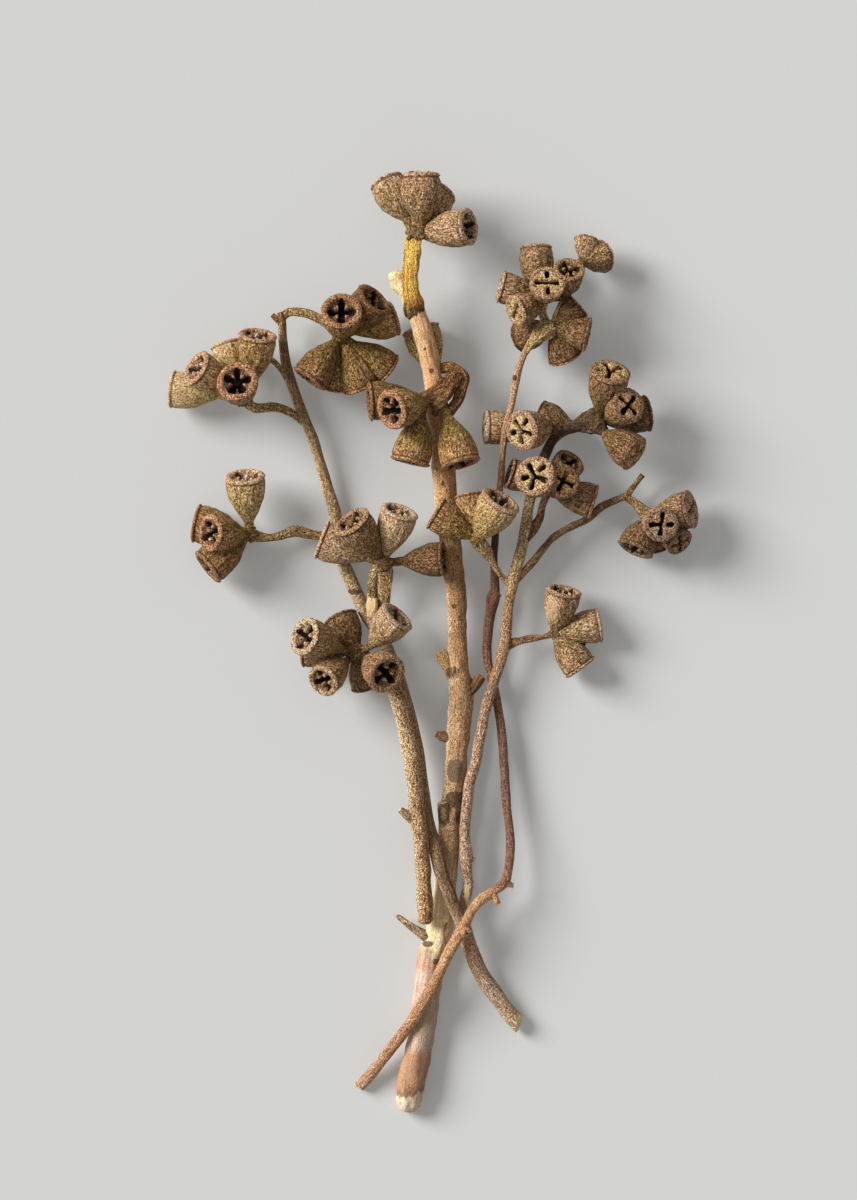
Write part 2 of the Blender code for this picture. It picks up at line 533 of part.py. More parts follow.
def nut_mesh(nut, root):
    """A gum nut lofted from its foot, up its outside, over its rim and down among its valves."""
    span = Vector(nut.mouth) - root
    length = min(span.length, NUT_LENGTH_IN_RADII * nut.radius)
    sides, inside = mouth_rings(nut, length)
    outside = [
        [(nut.radius * share * math.cos(2 * math.pi * index / sides),
          nut.radius * share * math.sin(2 * math.pi * index / sides),
          length * along) for index in range(sides)]
        for along, share in NUT_PROFILE
    ]
    depth = OPEN_CENTRE if nut.opened else DISC_CENTRE
    shape = bmesh.new()
    loops = [[shape.verts.new(point) for point in loop] for loop in outside + inside]
    centre = shape.verts.new((0.0, 0.0, length + depth * nut.radius))
    for lower, upper in zip(loops, loops[1:]):
        for index in range(sides):
            after = (index + 1) % sides
            shape.faces.new((lower[index], lower[after], upper[after], upper[index]))
    for index in range(sides):
        shape.faces.new((loops[-1][index], loops[-1][(index + 1) % sides], centre))
    shape.faces.new(list(reversed(loops[0])))
    foot = Vector(nut.mouth) - span.normalized() * length
    place = Matrix.Translation(foot * MM) @ facing(span, nut.turn).to_4x4() @ Matrix.Scale(MM, 4)
    shape.transform(place)
    mesh = bpy.data.meshes.new("nut")
    shape.to_mesh(mesh)
    shape.free()
    return mesh, foot


def joined(base, others, operation="UNION", solver="EXACT"):
    """Apply one Boolean between an object and a collection, then remove the collection's objects."""
    modifier = base.modifiers.new("join", "BOOLEAN")
    modifier.operation = operation
    modifier.operand_type = "COLLECTION"
    modifier.collection = others
    modifier.solver = solver
    mesh = evaluated_mesh(base)
    base.modifiers.clear()
    base.data = mesh
    for other in list(others.objects):
        bpy.data.objects.remove(other)
    bpy.data.collections.remove(others)
    return base


def saw(item, point, normal):
    """Cut away what lies beyond a plane and close the cut."""
    shape = bmesh.new()
    shape.from_mesh(item.data)
    geometry = shape.verts[:] + shape.edges[:] + shape.faces[:]
    bmesh.ops.bisect_plane(shape, geom=geometry, dist=0.000001, plane_co=Vector(point) * MM,
                           plane_no=Vector(normal), clear_outer=True)
    rims = [edge for edge in shape.edges if edge.is_boundary]
    bmesh.ops.holes_fill(shape, edges=rims, sides=0)
    bmesh.ops.recalc_face_normals(shape, faces=shape.faces)
    shape.to_mesh(item.data)
    shape.free()


def nearest_hub(hubs, point):
    """The middle of the hub that lies nearest to a point."""
    return min((Vector(hub[:3]) for hub in hubs), key=lambda hub: (hub - Vector(point)).length)


def build_stem(name, stem, parts):
    """A stem with its stubs and side twigs in one body."""
    item = tube(name, stem.route, stem.sides, STEM_STEP, parts)
    stubs = new_collection(name + "_stubs")
    for index, route in enumerate(stem.stubs):
        tube(f"{name}_stub_{index}", route, TWIG_SIDES, STUB_STEP, stubs)
    joined(item, stubs)
    return item


def build_umbel(name, umbel, parts):
    """An umbel: its flattened stalk, its hub and its nuts in one body."""
    pieces = new_collection(name + "_pieces")
    for index, route in enumerate(umbel.straps):
        flatness = STRAP_FLATNESS if route[0][3] > 1.2 else 0.8
        tube(f"{name}_strap_{index}", route, STRAP_SIDES, STRAP_STEP, pieces, flatness)
    for index, nut in enumerate(umbel.nuts):
        root = Vector(nut.root) if nut.root else nearest_hub(umbel.hubs, nut.mouth)
        mesh, foot = nut_mesh(nut, root)
        link_mesh(f"{name}_nut_{index}", mesh, pieces)
        hub = nearest_hub(umbel.hubs, root)
        stalk = [(*hub, STALK_RADIUS)] if nut.root else []
        stalk.append((*root, STALK_RADIUS))
        if nut.root or (foot - root).length > NUT_ROOT_DEPTH:
            inner = foot + (Vector(nut.mouth) - root).normalized() * NUT_ROOT_DEPTH
            stalk.append((*inner, nut.radius * NUT_PROFILE[0][1]))
        if len(stalk) > 1:
            tube(f"{name}_stalk_{index}", stalk, STALK_SIDES, LONG_STEP, pieces)
    for index, hub in enumerate(umbel.hubs[1:]):
        ball(f"{name}_hub_{index}", hub[:3], hub[3], pieces)
    item = ball(name, umbel.hubs[0][:3], umbel.hubs[0][3], parts)
    return joined(item, pieces)


def seat_on_stem(item, stem_name):
    """Hollow the foot of an umbel's stalk so that it sits against its stem with a thin gap."""
    stem = STEMS[stem_name]
    cutters = new_collection(item.name + "_cutters")
    cutter = tube(item.name + "_cutter", stem.route, stem.sides, STEM_STEP, cutters, extra=SEAT_GAP)
    cutter.hide_render = True
    cutter.display_type = "WIRE"
    for index, route in enumerate(stem.stubs):
        side = tube(f"{item.name}_cutter_{index}", route, TWIG_SIDES, STUB_STEP, cutters, extra=SEAT_GAP)
        side.hide_render = True
        side.display_type = "WIRE"
    joined(item, cutters, "DIFFERENCE")
    drop_scraps(item)


def drop_scraps(item):
    """Drop the small scraps that a cut leaves on the far side of a stem."""
    shape = bmesh.new()
    shape.from_mesh(item.data)
    shape.verts.ensure_lookup_table()
    unseen = set(shape.verts)
    islands = []
    while unseen:
        stack = [unseen.pop()]
        island = list(stack)
        while stack:
            for edge in stack.pop().link_edges:
                for vert in edge.verts:
                    if vert in unseen:
                        unseen.remove(vert)
                        stack.append(vert)
                        island.append(vert)
        islands.append(island)
    for island in islands:
        if len(island) < SCRAP_POINTS:
            bmesh.ops.delete(shape, geom=island, context="VERTS")
    shape.to_mesh(item.data)
    shape.free()


def finish_piece(item, colour, roughness):
    """Flatten what touches the surface below, give the material and shade it smooth."""
    if min(vert.co.z for vert in item.data.vertices) < FLOOR_Z:
        saw(item, (0.0, 0.0, FLOOR_Z), (0.0, 0.0, -1.0))
    for vert in item.data.vertices:
        vert.co -= Vector((*MIDDLE, 0.0)) * MM
    item.data.materials.clear()
    item.data.materials.append(plain_material(item.name, colour, roughness))
    item.data.shade_smooth()
    item.data.set_sharp_from_angle(angle=math.radians(40))


def main():
    """Build the stems, then the umbels that sit on them."""
    clear_scene()
    parts = new_collection("dried_blue_gum_eucalyptus")
    stems = {name: build_stem(name, stem, parts) for name, stem in STEMS.items()}
    for name, point, normal in SLANTED_CUTS:
        saw(stems[name], point, normal)
    for name, stem in STEMS.items():
        finish_piece(stems[name], stem.colour, stem.roughness)
    for name, umbel in UMBELS.items():
        item = build_umbel(name, umbel, parts)
        seat_on_stem(item, umbel.stem)
        finish_piece(item, umbel.colour, 0.7)


main()
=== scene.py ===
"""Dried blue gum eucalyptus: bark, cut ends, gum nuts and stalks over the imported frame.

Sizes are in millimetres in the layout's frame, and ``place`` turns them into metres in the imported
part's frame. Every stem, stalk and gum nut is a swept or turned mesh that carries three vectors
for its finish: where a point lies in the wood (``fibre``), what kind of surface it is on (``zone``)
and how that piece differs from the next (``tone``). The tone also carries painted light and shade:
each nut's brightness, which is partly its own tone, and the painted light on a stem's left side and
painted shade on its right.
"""

import logging
import math
from dataclasses import dataclass, field
from enum import Enum
from typing import ClassVar, Optional, Union

import bpy
import numpy as np
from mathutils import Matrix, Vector


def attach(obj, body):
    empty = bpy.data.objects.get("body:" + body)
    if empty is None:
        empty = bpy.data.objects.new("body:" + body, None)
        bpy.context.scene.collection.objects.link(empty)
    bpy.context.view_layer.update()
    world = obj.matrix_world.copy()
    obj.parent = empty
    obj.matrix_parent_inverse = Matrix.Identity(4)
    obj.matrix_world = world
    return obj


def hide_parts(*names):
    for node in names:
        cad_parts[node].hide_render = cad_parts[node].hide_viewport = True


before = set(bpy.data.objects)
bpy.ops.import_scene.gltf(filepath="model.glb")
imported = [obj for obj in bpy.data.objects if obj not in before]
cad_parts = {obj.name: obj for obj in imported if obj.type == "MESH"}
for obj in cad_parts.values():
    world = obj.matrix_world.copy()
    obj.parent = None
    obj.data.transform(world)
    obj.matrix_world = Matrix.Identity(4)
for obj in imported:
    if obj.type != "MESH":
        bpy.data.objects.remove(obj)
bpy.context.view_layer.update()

log = logging.getLogger("dried_blue_gum")

MM = 0.001
MIDDLE = np.array([0.06, -0.35, 0.0])
FLOOR_CLEARANCE = 0.02
FULL_TURN = 2 * math.pi
BRIGHTEST = 0.94
SPECULAR = 0.32
# Light on red, green and blue: powers that keep dim wood warm and bright wood pale
LIGHT_POWERS = (0.94, 1.10, 1.45)
MIDDLE_OF_NOISE = 0.5
NUT_CREASE = 75.0
BARK_CREASE = 50.0
UP = np.array([0.0, 0.0, 1.0])
ALONG = np.array([0.0, 1.0, 0.0])
ACROSS = np.array([1.0, 0.0, 0.0])

Array = np.ndarray
Point = tuple[float, float, float]
Waypoint = tuple[float, float, float, float]
Colour = tuple[float, float, float]
Number = Union[int, float]
Span = tuple[float, float]
Bands = tuple[tuple[float, Colour], ...]
Term = Union["Value", Number]


def paint(red: Number, green: Number, blue: Number) -> Colour:
    """Turn a colour as the eye sees it into the light it reflects.

    Args:
        red: Red from 0 to 255.
        green: Green from 0 to 255.
        blue: Blue from 0 to 255.

    Returns:
        The same colour as linear values from 0 to 1.
    """
    return tuple(((c / 255 + 0.055) / 1.055) ** 2.4 if c > 10 else c / 3294.6 for c in (red, green, blue))


def place(points: Array) -> Array:
    """Move points from the layout in millimetres to the part's frame in metres.

    Args:
        points: Points as rows of x, y, z.

    Returns:
        The same points in metres, none of them under the surface that the sheaf lies on.
    """
    moved = points - MIDDLE
    moved[:, 2] = np.maximum(moved[:, 2], FLOOR_CLEARANCE)
    return moved * MM


def unit(vectors: Array) -> Array:
    """Scale vectors to length one, along the last axis."""
    return vectors / np.maximum(np.linalg.norm(vectors, axis=-1, keepdims=True), 1e-9)


def soft_step(values: Array, low: float, high: float) -> Array:
    """Rise smoothly from 0 at low to 1 at high.

    Args:
        values: The values to test.
        low: Where the rise starts.
        high: Where it ends.

    Returns:
        Values from 0 to 1.
    """
    share = np.clip((values - low) / (high - low), 0.0, 1.0)
    return share * share * (3 - 2 * share)


def ripple(points: Array, length: float, seed: int, waves: int = 10) -> Array:
    """Smooth irregular waves through space, for lumps that no two pieces share.

    Args:
        points: Points whose last axis is x, y, z.
        length: Typical length of a wave, in the points' own unit.
        seed: What makes this pattern differ from others.
        waves: How many plane waves are summed.

    Returns:
        One value for each point, mostly between -1.5 and 1.5.
    """
    rng = np.random.default_rng(seed)
    directions = unit(rng.normal(size=(waves, 3)))
    lengths = length * rng.uniform(0.6, 1.7, waves)
    phases = rng.uniform(0, FULL_TURN, waves)
    value = np.zeros(points.shape[:-1])
    for direction, wave, phase in zip(directions, lengths, phases):
        value += np.sin((points @ direction) * (FULL_TURN / wave) + phase)
    return value / math.sqrt(waves / 2)


def ring_of(sides: int) -> tuple[Array, Array, Array]:
    """Angles around a ring, with their cosines and sines."""
    angle = np.linspace(0, FULL_TURN, sides, endpoint=False)
    return angle, np.cos(angle), np.sin(angle)


def smooth_route(route: list[Waypoint], step: float) -> Array:
    """Run a smooth curve through the waypoints of a stem or stalk.

    Args:
        route: Waypoints as x, y, z, radius.
        step: Distance between the points returned.

    Returns:
        Rows of x, y, z, radius along the curve.
    """
    ways = np.array([route[0], *route, route[-1]], dtype=float)
    rows: list[Array] = []
    for before, start, end, after in zip(ways, ways[1:], ways[2:], ways[3:]):
        pieces = max(1, round(float(np.linalg.norm(end[:3] - start[:3])) / step))
        t = (np.arange(pieces) / pieces)[:, None]
        rows.append(0.5 * (2 * start + (end - before) * t + (2 * before - 5 * start + 4 * end - after) * t ** 2
                           + (3 * start - before - 3 * end + after) * t ** 3))
    rows.append(ways[-1:])
    return np.concatenate(rows)


class Zone(Enum):
    """What is special at a place on a branch, and which part of the zone vector says so."""

    CUT = 0
    SCAR = 1
    PATCH = 2


@dataclass(frozen=True)
class Cells:
    """Noise in the wood: cells to a millimetre, finer layers and their strength, and its own shift."""

    across: float
    along: float
    detail: float = 3.0
    rough: float = 0.6
    shift: float = 0.0


@dataclass(frozen=True)
class Dab:
    """A colour that lies over another one, and how strongly."""

    colour: Colour
    strength: float


@dataclass
class Shell:
    """Grids of points gathered into one mesh, with what the finishes read from them."""

    points: list[Array] = field(default_factory=list)
    faces: list[list[int]] = field(default_factory=list)
    fibre: list[Array] = field(default_factory=list)
    zone: list[Array] = field(default_factory=list)
    tone: list[Array] = field(default_factory=list)
    count: int = 0

    def add(self, grid: Array, fibre: Array, zone: Array, tone: Array) -> None:
        """Add a closed tube of points, with a fan over each of its ends.

        Args:
            grid: Points as rows along the tube by columns around it.
            fibre: Where each point lies in the wood, in millimetres.
            zone: What kind of surface each point is on.
            tone: How this piece differs from the next, with its painted light and shade.
        """
        rows, columns = grid.shape[:2]
        index = np.arange(rows * columns).reshape(rows, columns) + self.count
        after = np.roll(index, -1, axis=1)
        quads = np.stack([index[:-1], after[:-1], after[1:], index[1:]], axis=-1).reshape(-1, 4)
        self.faces.extend(quads.tolist())
        first = self.count + rows * columns
        self.faces.extend(np.stack([after[0], index[0], np.full(columns, first)], axis=-1).tolist())
        self.faces.extend(np.stack([index[-1], after[-1], np.full(columns, first + 1)], axis=-1).tolist())
        for store, values in ((self.points, grid), (self.fibre, fibre), (self.zone, zone), (self.tone, tone)):
            ends = np.stack([values[0].mean(axis=0), values[-1].mean(axis=0)])
            store.append(np.concatenate([values.reshape(-1, 3), ends]))
        self.count = first + 2

    def build(self, name: str, material: bpy.types.Material, crease: float) -> bpy.types.Object:
        """Make the object, which rides with the part.

        Args:
            name: The piece's name.
            material: Its finish.
            crease: Angle in degrees above which an edge stays sharp.

        Returns:
            The new object.
        """
        mesh = bpy.data.meshes.new(name)
        mesh.from_pydata(place(np.concatenate(self.points)).tolist(), [], self.faces)
        for label, store in (("fibre", self.fibre), ("zone", self.zone), ("tone", self.tone)):
            layer = mesh.attributes.new(label, "FLOAT_VECTOR", "POINT")
            layer.data.foreach_set("vector", np.concatenate(store).astype(np.float32).ravel())
        mesh.shade_smooth()
        mesh.set_sharp_from_angle(angle=math.radians(crease))
        mesh.materials.append(material)
        piece = bpy.data.objects.new(name, mesh)
        bpy.context.scene.collection.objects.link(piece)
        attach(piece, "root")
        return piece


class Value:
    """A node's output that Python arithmetic can be written on."""

    def __init__(self, graph: "Graph", socket: bpy.types.NodeSocket) -> None:
        """Keep the graph and the socket."""
        self.graph = graph
        self.socket = socket

    def math(self, operation: str, *values: Term) -> "Value":
        """Put the value through a Math node.

        Args:
            operation: The Math node's operation.
            *values: What fills its sockets, in order.

        Returns:
            The result.
        """
        return self.graph.add("ShaderNodeMath", {"operation": operation}, dict(enumerate(values)))

    def __add__(self, other: Term) -> "Value":
        """Add."""
        return self.math("ADD", self, other)

    def __radd__(self, other: Number) -> "Value":
        """Add, with the number first."""
        return self.math("ADD", other, self)

    def __sub__(self, other: Term) -> "Value":
        """Subtract."""
        return self.math("SUBTRACT", self, other)

    def __rsub__(self, other: Number) -> "Value":
        """Subtract from a number."""
        return self.math("SUBTRACT", other, self)

    def __mul__(self, other: Term) -> "Value":
        """Multiply."""
        return self.math("MULTIPLY", self, other)

    def __pow__(self, power: float) -> "Value":
        """Raise to a power."""
        return self.math("POWER", self, power)

    def rise(self, low: float, high: float) -> "Value":
        """Rise smoothly from 0 at low to 1 at high.

        Args:
            low: Where the rise starts.
            high: Where it ends.

        Returns:
            A value from 0 to 1.
        """
        return self.graph.add("ShaderNodeMapRange", {"interpolation_type": "SMOOTHSTEP"},
                              {"Value": self, "From Min": low, "From Max": high})

    def most(self, other: Term) -> "Value":
        """The larger of two values."""
        return self.math("MAXIMUM", self, other)

    def swing(self, amount: Term) -> "Value":
        """How far noise is from its middle, times an amount."""
        return (self - MIDDLE_OF_NOISE) * amount


class Graph:
    """One material's nodes, added by name."""

    def __init__(self, name: str) -> None:
        """Start a material of this name with its Principled shader."""
        self.material = bpy.data.materials.new(name)
        self.material.use_nodes = True
        self.tree = self.material.node_tree
        self.shader = self.tree.nodes["Principled BSDF"]

    def add(self, kind: str, settings: dict[str, object], values: dict[Union[int, str], object],
            output: Union[int, str] = 0) -> Value:
        """Add any node.

        Args:
            kind: The node's type.
            settings: Its own settings, set first; "stops" fills a colour ramp.
            values: What each of its sockets holds: a number, a colour or another node's value.
            output: Which of its outputs is wanted.

        Returns:
            That output.
        """
        node = self.tree.nodes.new(kind)
        for key, setting in settings.items():
            if key == "stops":
                fill_ramp(node.color_ramp, setting)
            else:
                setattr(node, key, setting)
        for key, value in values.items():
            self.feed(node.inputs[key], value)
        return Value(self, node.outputs[output])

    def feed(self, socket: bpy.types.NodeSocket, value: object) -> None:
        """Fill a socket with a number, a colour or another node's value.

        Args:
            socket: The socket to fill.
            value: What it gets.
        """
        if isinstance(value, Value):
            self.tree.links.new(value.socket, socket)
        elif isinstance(value, tuple) and len(value) == 3 and socket.type == "RGBA":
            socket.default_value = (*value, 1.0)
        else:
            socket.default_value = value

    def part_of(self, label: str) -> tuple[Value, Value, Value]:
        """The three parts of a vector that the mesh carries.

        Args:
            label: The vector's name.

        Returns:
            Its x, y and z.
        """
        split = self.add("ShaderNodeSeparateXYZ", {}, {0: self.vector(label)})
        return tuple(Value(self, part) for part in split.socket.node.outputs)

    def vector(self, label: str) -> Value:
        """A vector that the mesh carries, by name."""
        return self.add("ShaderNodeAttribute", {"attribute_name": label}, {}, "Vector")

    def vectors(self, operation: str, values: dict[Union[int, str], object]) -> Value:
        """Put vectors or colours through a Vector Math node."""
        return self.add("ShaderNodeVectorMath", {"operation": operation}, values)

    def noise(self, wood: Value, cells: Cells) -> Value:
        """Noise in the wood, stretched along or across its fibres.

        Args:
            wood: The vector that it is read at, in millimetres.
            cells: Its cells and layers.

        Returns:
            A value around 0.5.
        """
        scaled = self.vectors("MULTIPLY", {0: wood, 1: (cells.across, cells.across, cells.along)})
        moved = self.vectors("ADD", {0: scaled, 1: (cells.shift, cells.shift * 0.7, cells.shift)})
        return self.add("ShaderNodeTexNoise", {}, {"Vector": moved, "Scale": 1.0, "Detail": cells.detail,
                                                   "Roughness": cells.rough})

    def mix(self, factor: Term, first: object, second: object, blend: str = "MIX") -> Value:
        """Mix two colours.

        Args:
            factor: 0 for the first, 1 for the second.
            first: A colour or a value.
            second: A colour or a value.
            blend: How they are mixed.

        Returns:
            The mixed colour.
        """
        return self.add("ShaderNodeMix", {"data_type": "RGBA", "blend_type": blend},
                        {0: factor, 6: first, 7: second}, 2)

    def lit(self, colour: Value, value: Value) -> Value:
        """Multiply a colour by light that is warm where the value is below 1 and cool above it."""
        light = self.add("ShaderNodeCombineColor", {}, dict(enumerate(value ** power for power in LIGHT_POWERS)))
        return self.mix(1.0, colour, light, "MULTIPLY")

    def bands(self, share: Value, stops: Bands) -> Value:
        """Colours along a stem, by how far along it a point is, from 0 to 1."""
        return self.add("ShaderNodeValToRGB", {"stops": stops}, {"Fac": share})

    def deepen(self, colour: Value, power: float, gain: float) -> Value:
        """Make the dark parts of a colour darker and all of it warmer.

        Args:
            colour: The colour.
            power: How much deeper it gets; 1 leaves it as it is.
            gain: What brings its brightness back.

        Returns:
            The deeper colour, never brighter than fresh wood.
        """
        deep = self.add("ShaderNodeGamma", {}, {"Color": colour, "Gamma": power})
        return self.vectors("MINIMUM", {0: self.vectors("SCALE", {0: deep, "Scale": gain}), 1: (BRIGHTEST,) * 3})

    def finish(self, colour: Value, height: Value, depth: float, roughness: Value) -> bpy.types.Material:
        """Feed the shader.

        Args:
            colour: The surface's colour.
            height: Its fine relief, in shares of the depth.
            depth: How deep the relief is, in millimetres.
            roughness: How matt it is.

        Returns:
            The material.
        """
        bump = self.add("ShaderNodeBump", {}, {"Height": height, "Strength": 1.0, "Distance": depth * MM},
                        "Normal")
        self.feed(self.shader.inputs["Base Color"], colour)
        self.feed(self.shader.inputs["Roughness"], roughness)
        self.feed(self.shader.inputs["Normal"], bump)
        self.shader.inputs["Specular IOR Level"].default_value = SPECULAR
        return self.material


def fill_ramp(ramp: bpy.types.ColorRamp, stops: Bands) -> None:
    """Give a colour ramp its stops.

    Args:
        ramp: The ramp, which starts with two stops.
        stops: Positions with their colours, in order.
    """
    for position, colour in stops[2:]:
        ramp.elements.new(position)
    for element, (position, colour) in zip(ramp.elements, stops):
        element.position = position
        element.color = (*colour, 1.0)


def dimmed(colour: Colour, share: float) -> Colour:
    """A colour times a number."""
    return tuple(share * part for part in colour)


@dataclass(frozen=True)
class Bark:
    """The skin of one branch: its colours from butt to tip, its grain, streaks, specks and cut wood, and painted light
    on one side of a stem with painted shade on the other.
    """

    name: str
    bands: Bands
    streak: Dab
    speck: Dab
    fleck: Dab
    grain: float
    speck_size: float = 1.8
    speck_from: float = 0.60
    calm_from: float = 1.1
    calm_to: float = -0.1
    # Colour of dark twigs, also used for the painted shade on a stem's right side
    twig_and_shade: Colour = paint(100, 68, 38)
    # Colour of the painted light on a stem's left side
    painted_light_colour: Colour = paint(220, 192, 154)
    scar: Colour = paint(78, 56, 42)
    patch: Colour = paint(128, 110, 88)
    cut: Colour = paint(242, 214, 168)

    SLOW_NOISE: ClassVar[Cells] = Cells(0.22, 0.07, 4.0)
    STREAK_NOISE: ClassVar[Cells] = Cells(1.5, 0.11, 4.0, 0.65, 3.1)
    GRAIN_NOISE: ClassVar[Cells] = Cells(2.2, 0.8, 2.0, 0.7, 7.7)
    FINE_NOISE: ClassVar[Cells] = Cells(3.1, 2.4, 1.0, 0.6, 27.7)
    FLECK_NOISE: ClassVar[Cells] = Cells(1.0, 0.26, 4.0, 0.7, 19.9)
    RING_NOISE: ClassVar[Cells] = Cells(2.4, 0.02, 2.0, 0.5, 5.0)
    SPECK_SQUASH: ClassVar[float] = 0.7
    BAND_WOBBLE: ClassVar[float] = 0.02
    CALM: ClassVar[float] = 0.4
    TOP_EDGE: ClassVar[float] = 0.05
    BUTT_EDGE: ClassVar[float] = 0.06
    SPECK_EDGE: ClassVar[float] = 0.06
    STREAK_RISE: ClassVar[Span] = (0.48, 0.66)
    FLECK_RISE: ClassVar[Span] = (0.50, 0.68)
    TWIG_RISE: ClassVar[Span] = (0.5, 0.7)
    TWIG_COVER: ClassVar[float] = 0.72
    TWIG_FLECKS: ClassVar[float] = 0.4
    TWIG_FLECK_RISE: ClassVar[Span] = (0.44, 0.60)
    PATCH_RISE: ClassVar[Span] = (0.40, 0.50)
    PATCH_COVER: ClassVar[float] = 0.85
    SCAR_RISE: ClassVar[Span] = (0.42, 0.56)
    SCAR_COVER: ClassVar[float] = 0.9
    SCAR_GRAIN_RISE: ClassVar[Span] = (0.4, 0.6)
    PALE_SCAR: ClassVar[float] = 1.9
    RING_RISE: ClassVar[Span] = (0.35, 0.75)
    DIM_RING: ClassVar[float] = 0.8
    CUT_RISE: ClassVar[Span] = (0.3, 0.6)
    GRAIN_CONTRAST: ClassVar[float] = 4.5
    FINE_CONTRAST: ClassVar[float] = 8.0
    STREAK_SHADE: ClassVar[float] = -1.2
    SLOW_SHADE: ClassVar[float] = 0.6
    LIGHTEN: ClassVar[float] = 1.20
    CHANCE_LIGHT: ClassVar[float] = 0.06
    LEAST_GRAIN: ClassVar[float] = 0.25
    LEAST_LIGHT: ClassVar[float] = 0.08
    DEEPEN: ClassVar[Span] = (1.20, 1.16)
    RELIEF: ClassVar[float] = 0.75
    ROUGHNESS: ClassVar[float] = 0.6

    def dress(self) -> bpy.types.Material:
        """Build the finish.

        Returns:
            Its material.
        """
        graph = Graph(self.name)
        wood = graph.vector("fibre")
        cut, scar, patch = graph.part_of("zone")
        share, chance, dark = graph.part_of("tone")
        slow, streak, grain, fine, fleck, rings, speck = (graph.noise(wood, cells) for cells in (
            self.SLOW_NOISE, self.STREAK_NOISE, self.GRAIN_NOISE, self.FINE_NOISE, self.FLECK_NOISE,
            self.RING_NOISE, Cells(self.speck_size, self.speck_size * self.SPECK_SQUASH, 2.0, 0.6, 11.3)))
        # The grain is fainter on the butt and near the tip, but not on dark twigs
        past_butt = share.rise(self.calm_to - self.BUTT_EDGE, self.calm_to)
        calm = 1 - share.rise(self.calm_from, self.calm_from + self.TOP_EDGE) * self.CALM
        calm = (calm * (self.CALM + past_butt * (1 - self.CALM))).most(dark.rise(*self.TWIG_RISE))
        # Bands with streaks and flecks over them, darker twigs, painted shade on a stem's right side and painted light
        # on its left side
        colour = graph.bands(share + slow.swing(self.BAND_WOBBLE) + fleck.swing(self.BAND_WOBBLE), self.bands)
        streaked = streak.rise(*self.STREAK_RISE) * (calm * self.streak.strength)
        colour = graph.mix(streaked, colour, self.streak.colour)
        flecked = fleck.rise(*self.FLECK_RISE) * (calm * self.fleck.strength)
        colour = graph.mix(flecked, colour, self.fleck.colour)
        twig_flecks = fleck.rise(*self.TWIG_FLECK_RISE) * self.TWIG_FLECKS
        colour = graph.mix(dark * (self.TWIG_COVER + twig_flecks), colour, self.twig_and_shade)
        colour = graph.mix((dark * -1.0).most(0.0) * past_butt, colour, self.painted_light_colour)
        # Grain as light and shade, then specks
        light = (grain.swing(calm * self.grain * self.GRAIN_CONTRAST) + 1).most(self.LEAST_GRAIN)
        light = light * (fine.swing(calm * self.grain * self.FINE_CONTRAST) + 1).most(self.LEAST_GRAIN)
        light = light * (streak.swing(self.STREAK_SHADE) + 1)
        light = light * (slow.swing(self.SLOW_SHADE) + self.LIGHTEN + chance * self.CHANCE_LIGHT)
        colour = graph.lit(colour, light.most(self.LEAST_LIGHT))
        specked = speck.rise(self.speck_from, self.speck_from + self.SPECK_EDGE) * (calm * self.speck.strength)
        colour = graph.mix(specked, colour, self.speck.colour)
        # Worn patches, scars and cut wood, with ragged edges
        worn_patch = (patch + fleck.swing(0.6)).rise(*self.PATCH_RISE)
        colour = graph.mix(worn_patch * self.PATCH_COVER, colour, self.patch)
        worn_scar = (scar + fleck.swing(1.2) + grain.swing(0.5)).rise(*self.SCAR_RISE)
        scar_colour = graph.mix(grain.rise(*self.SCAR_GRAIN_RISE), self.scar, dimmed(self.scar, self.PALE_SCAR))
        colour = graph.mix(worn_scar * self.SCAR_COVER, colour, scar_colour)
        wood_colour = graph.mix(rings.rise(*self.RING_RISE), self.cut, dimmed(self.cut, self.DIM_RING))
        colour = graph.mix((cut + fine.swing(0.3)).rise(*self.CUT_RISE), colour, wood_colour)
        # Streaks and grain stand out, specks and scars are sunk
        height = (streak * 0.6 + grain * 0.8 + fine * 0.8) * calm - specked * 0.15 + fleck * 0.4
        return graph.finish(graph.deepen(colour, *self.DEEPEN), height - worn_scar * 0.25, self.RELIEF,
                            self.ROUGHNESS + fine.swing(0.3))


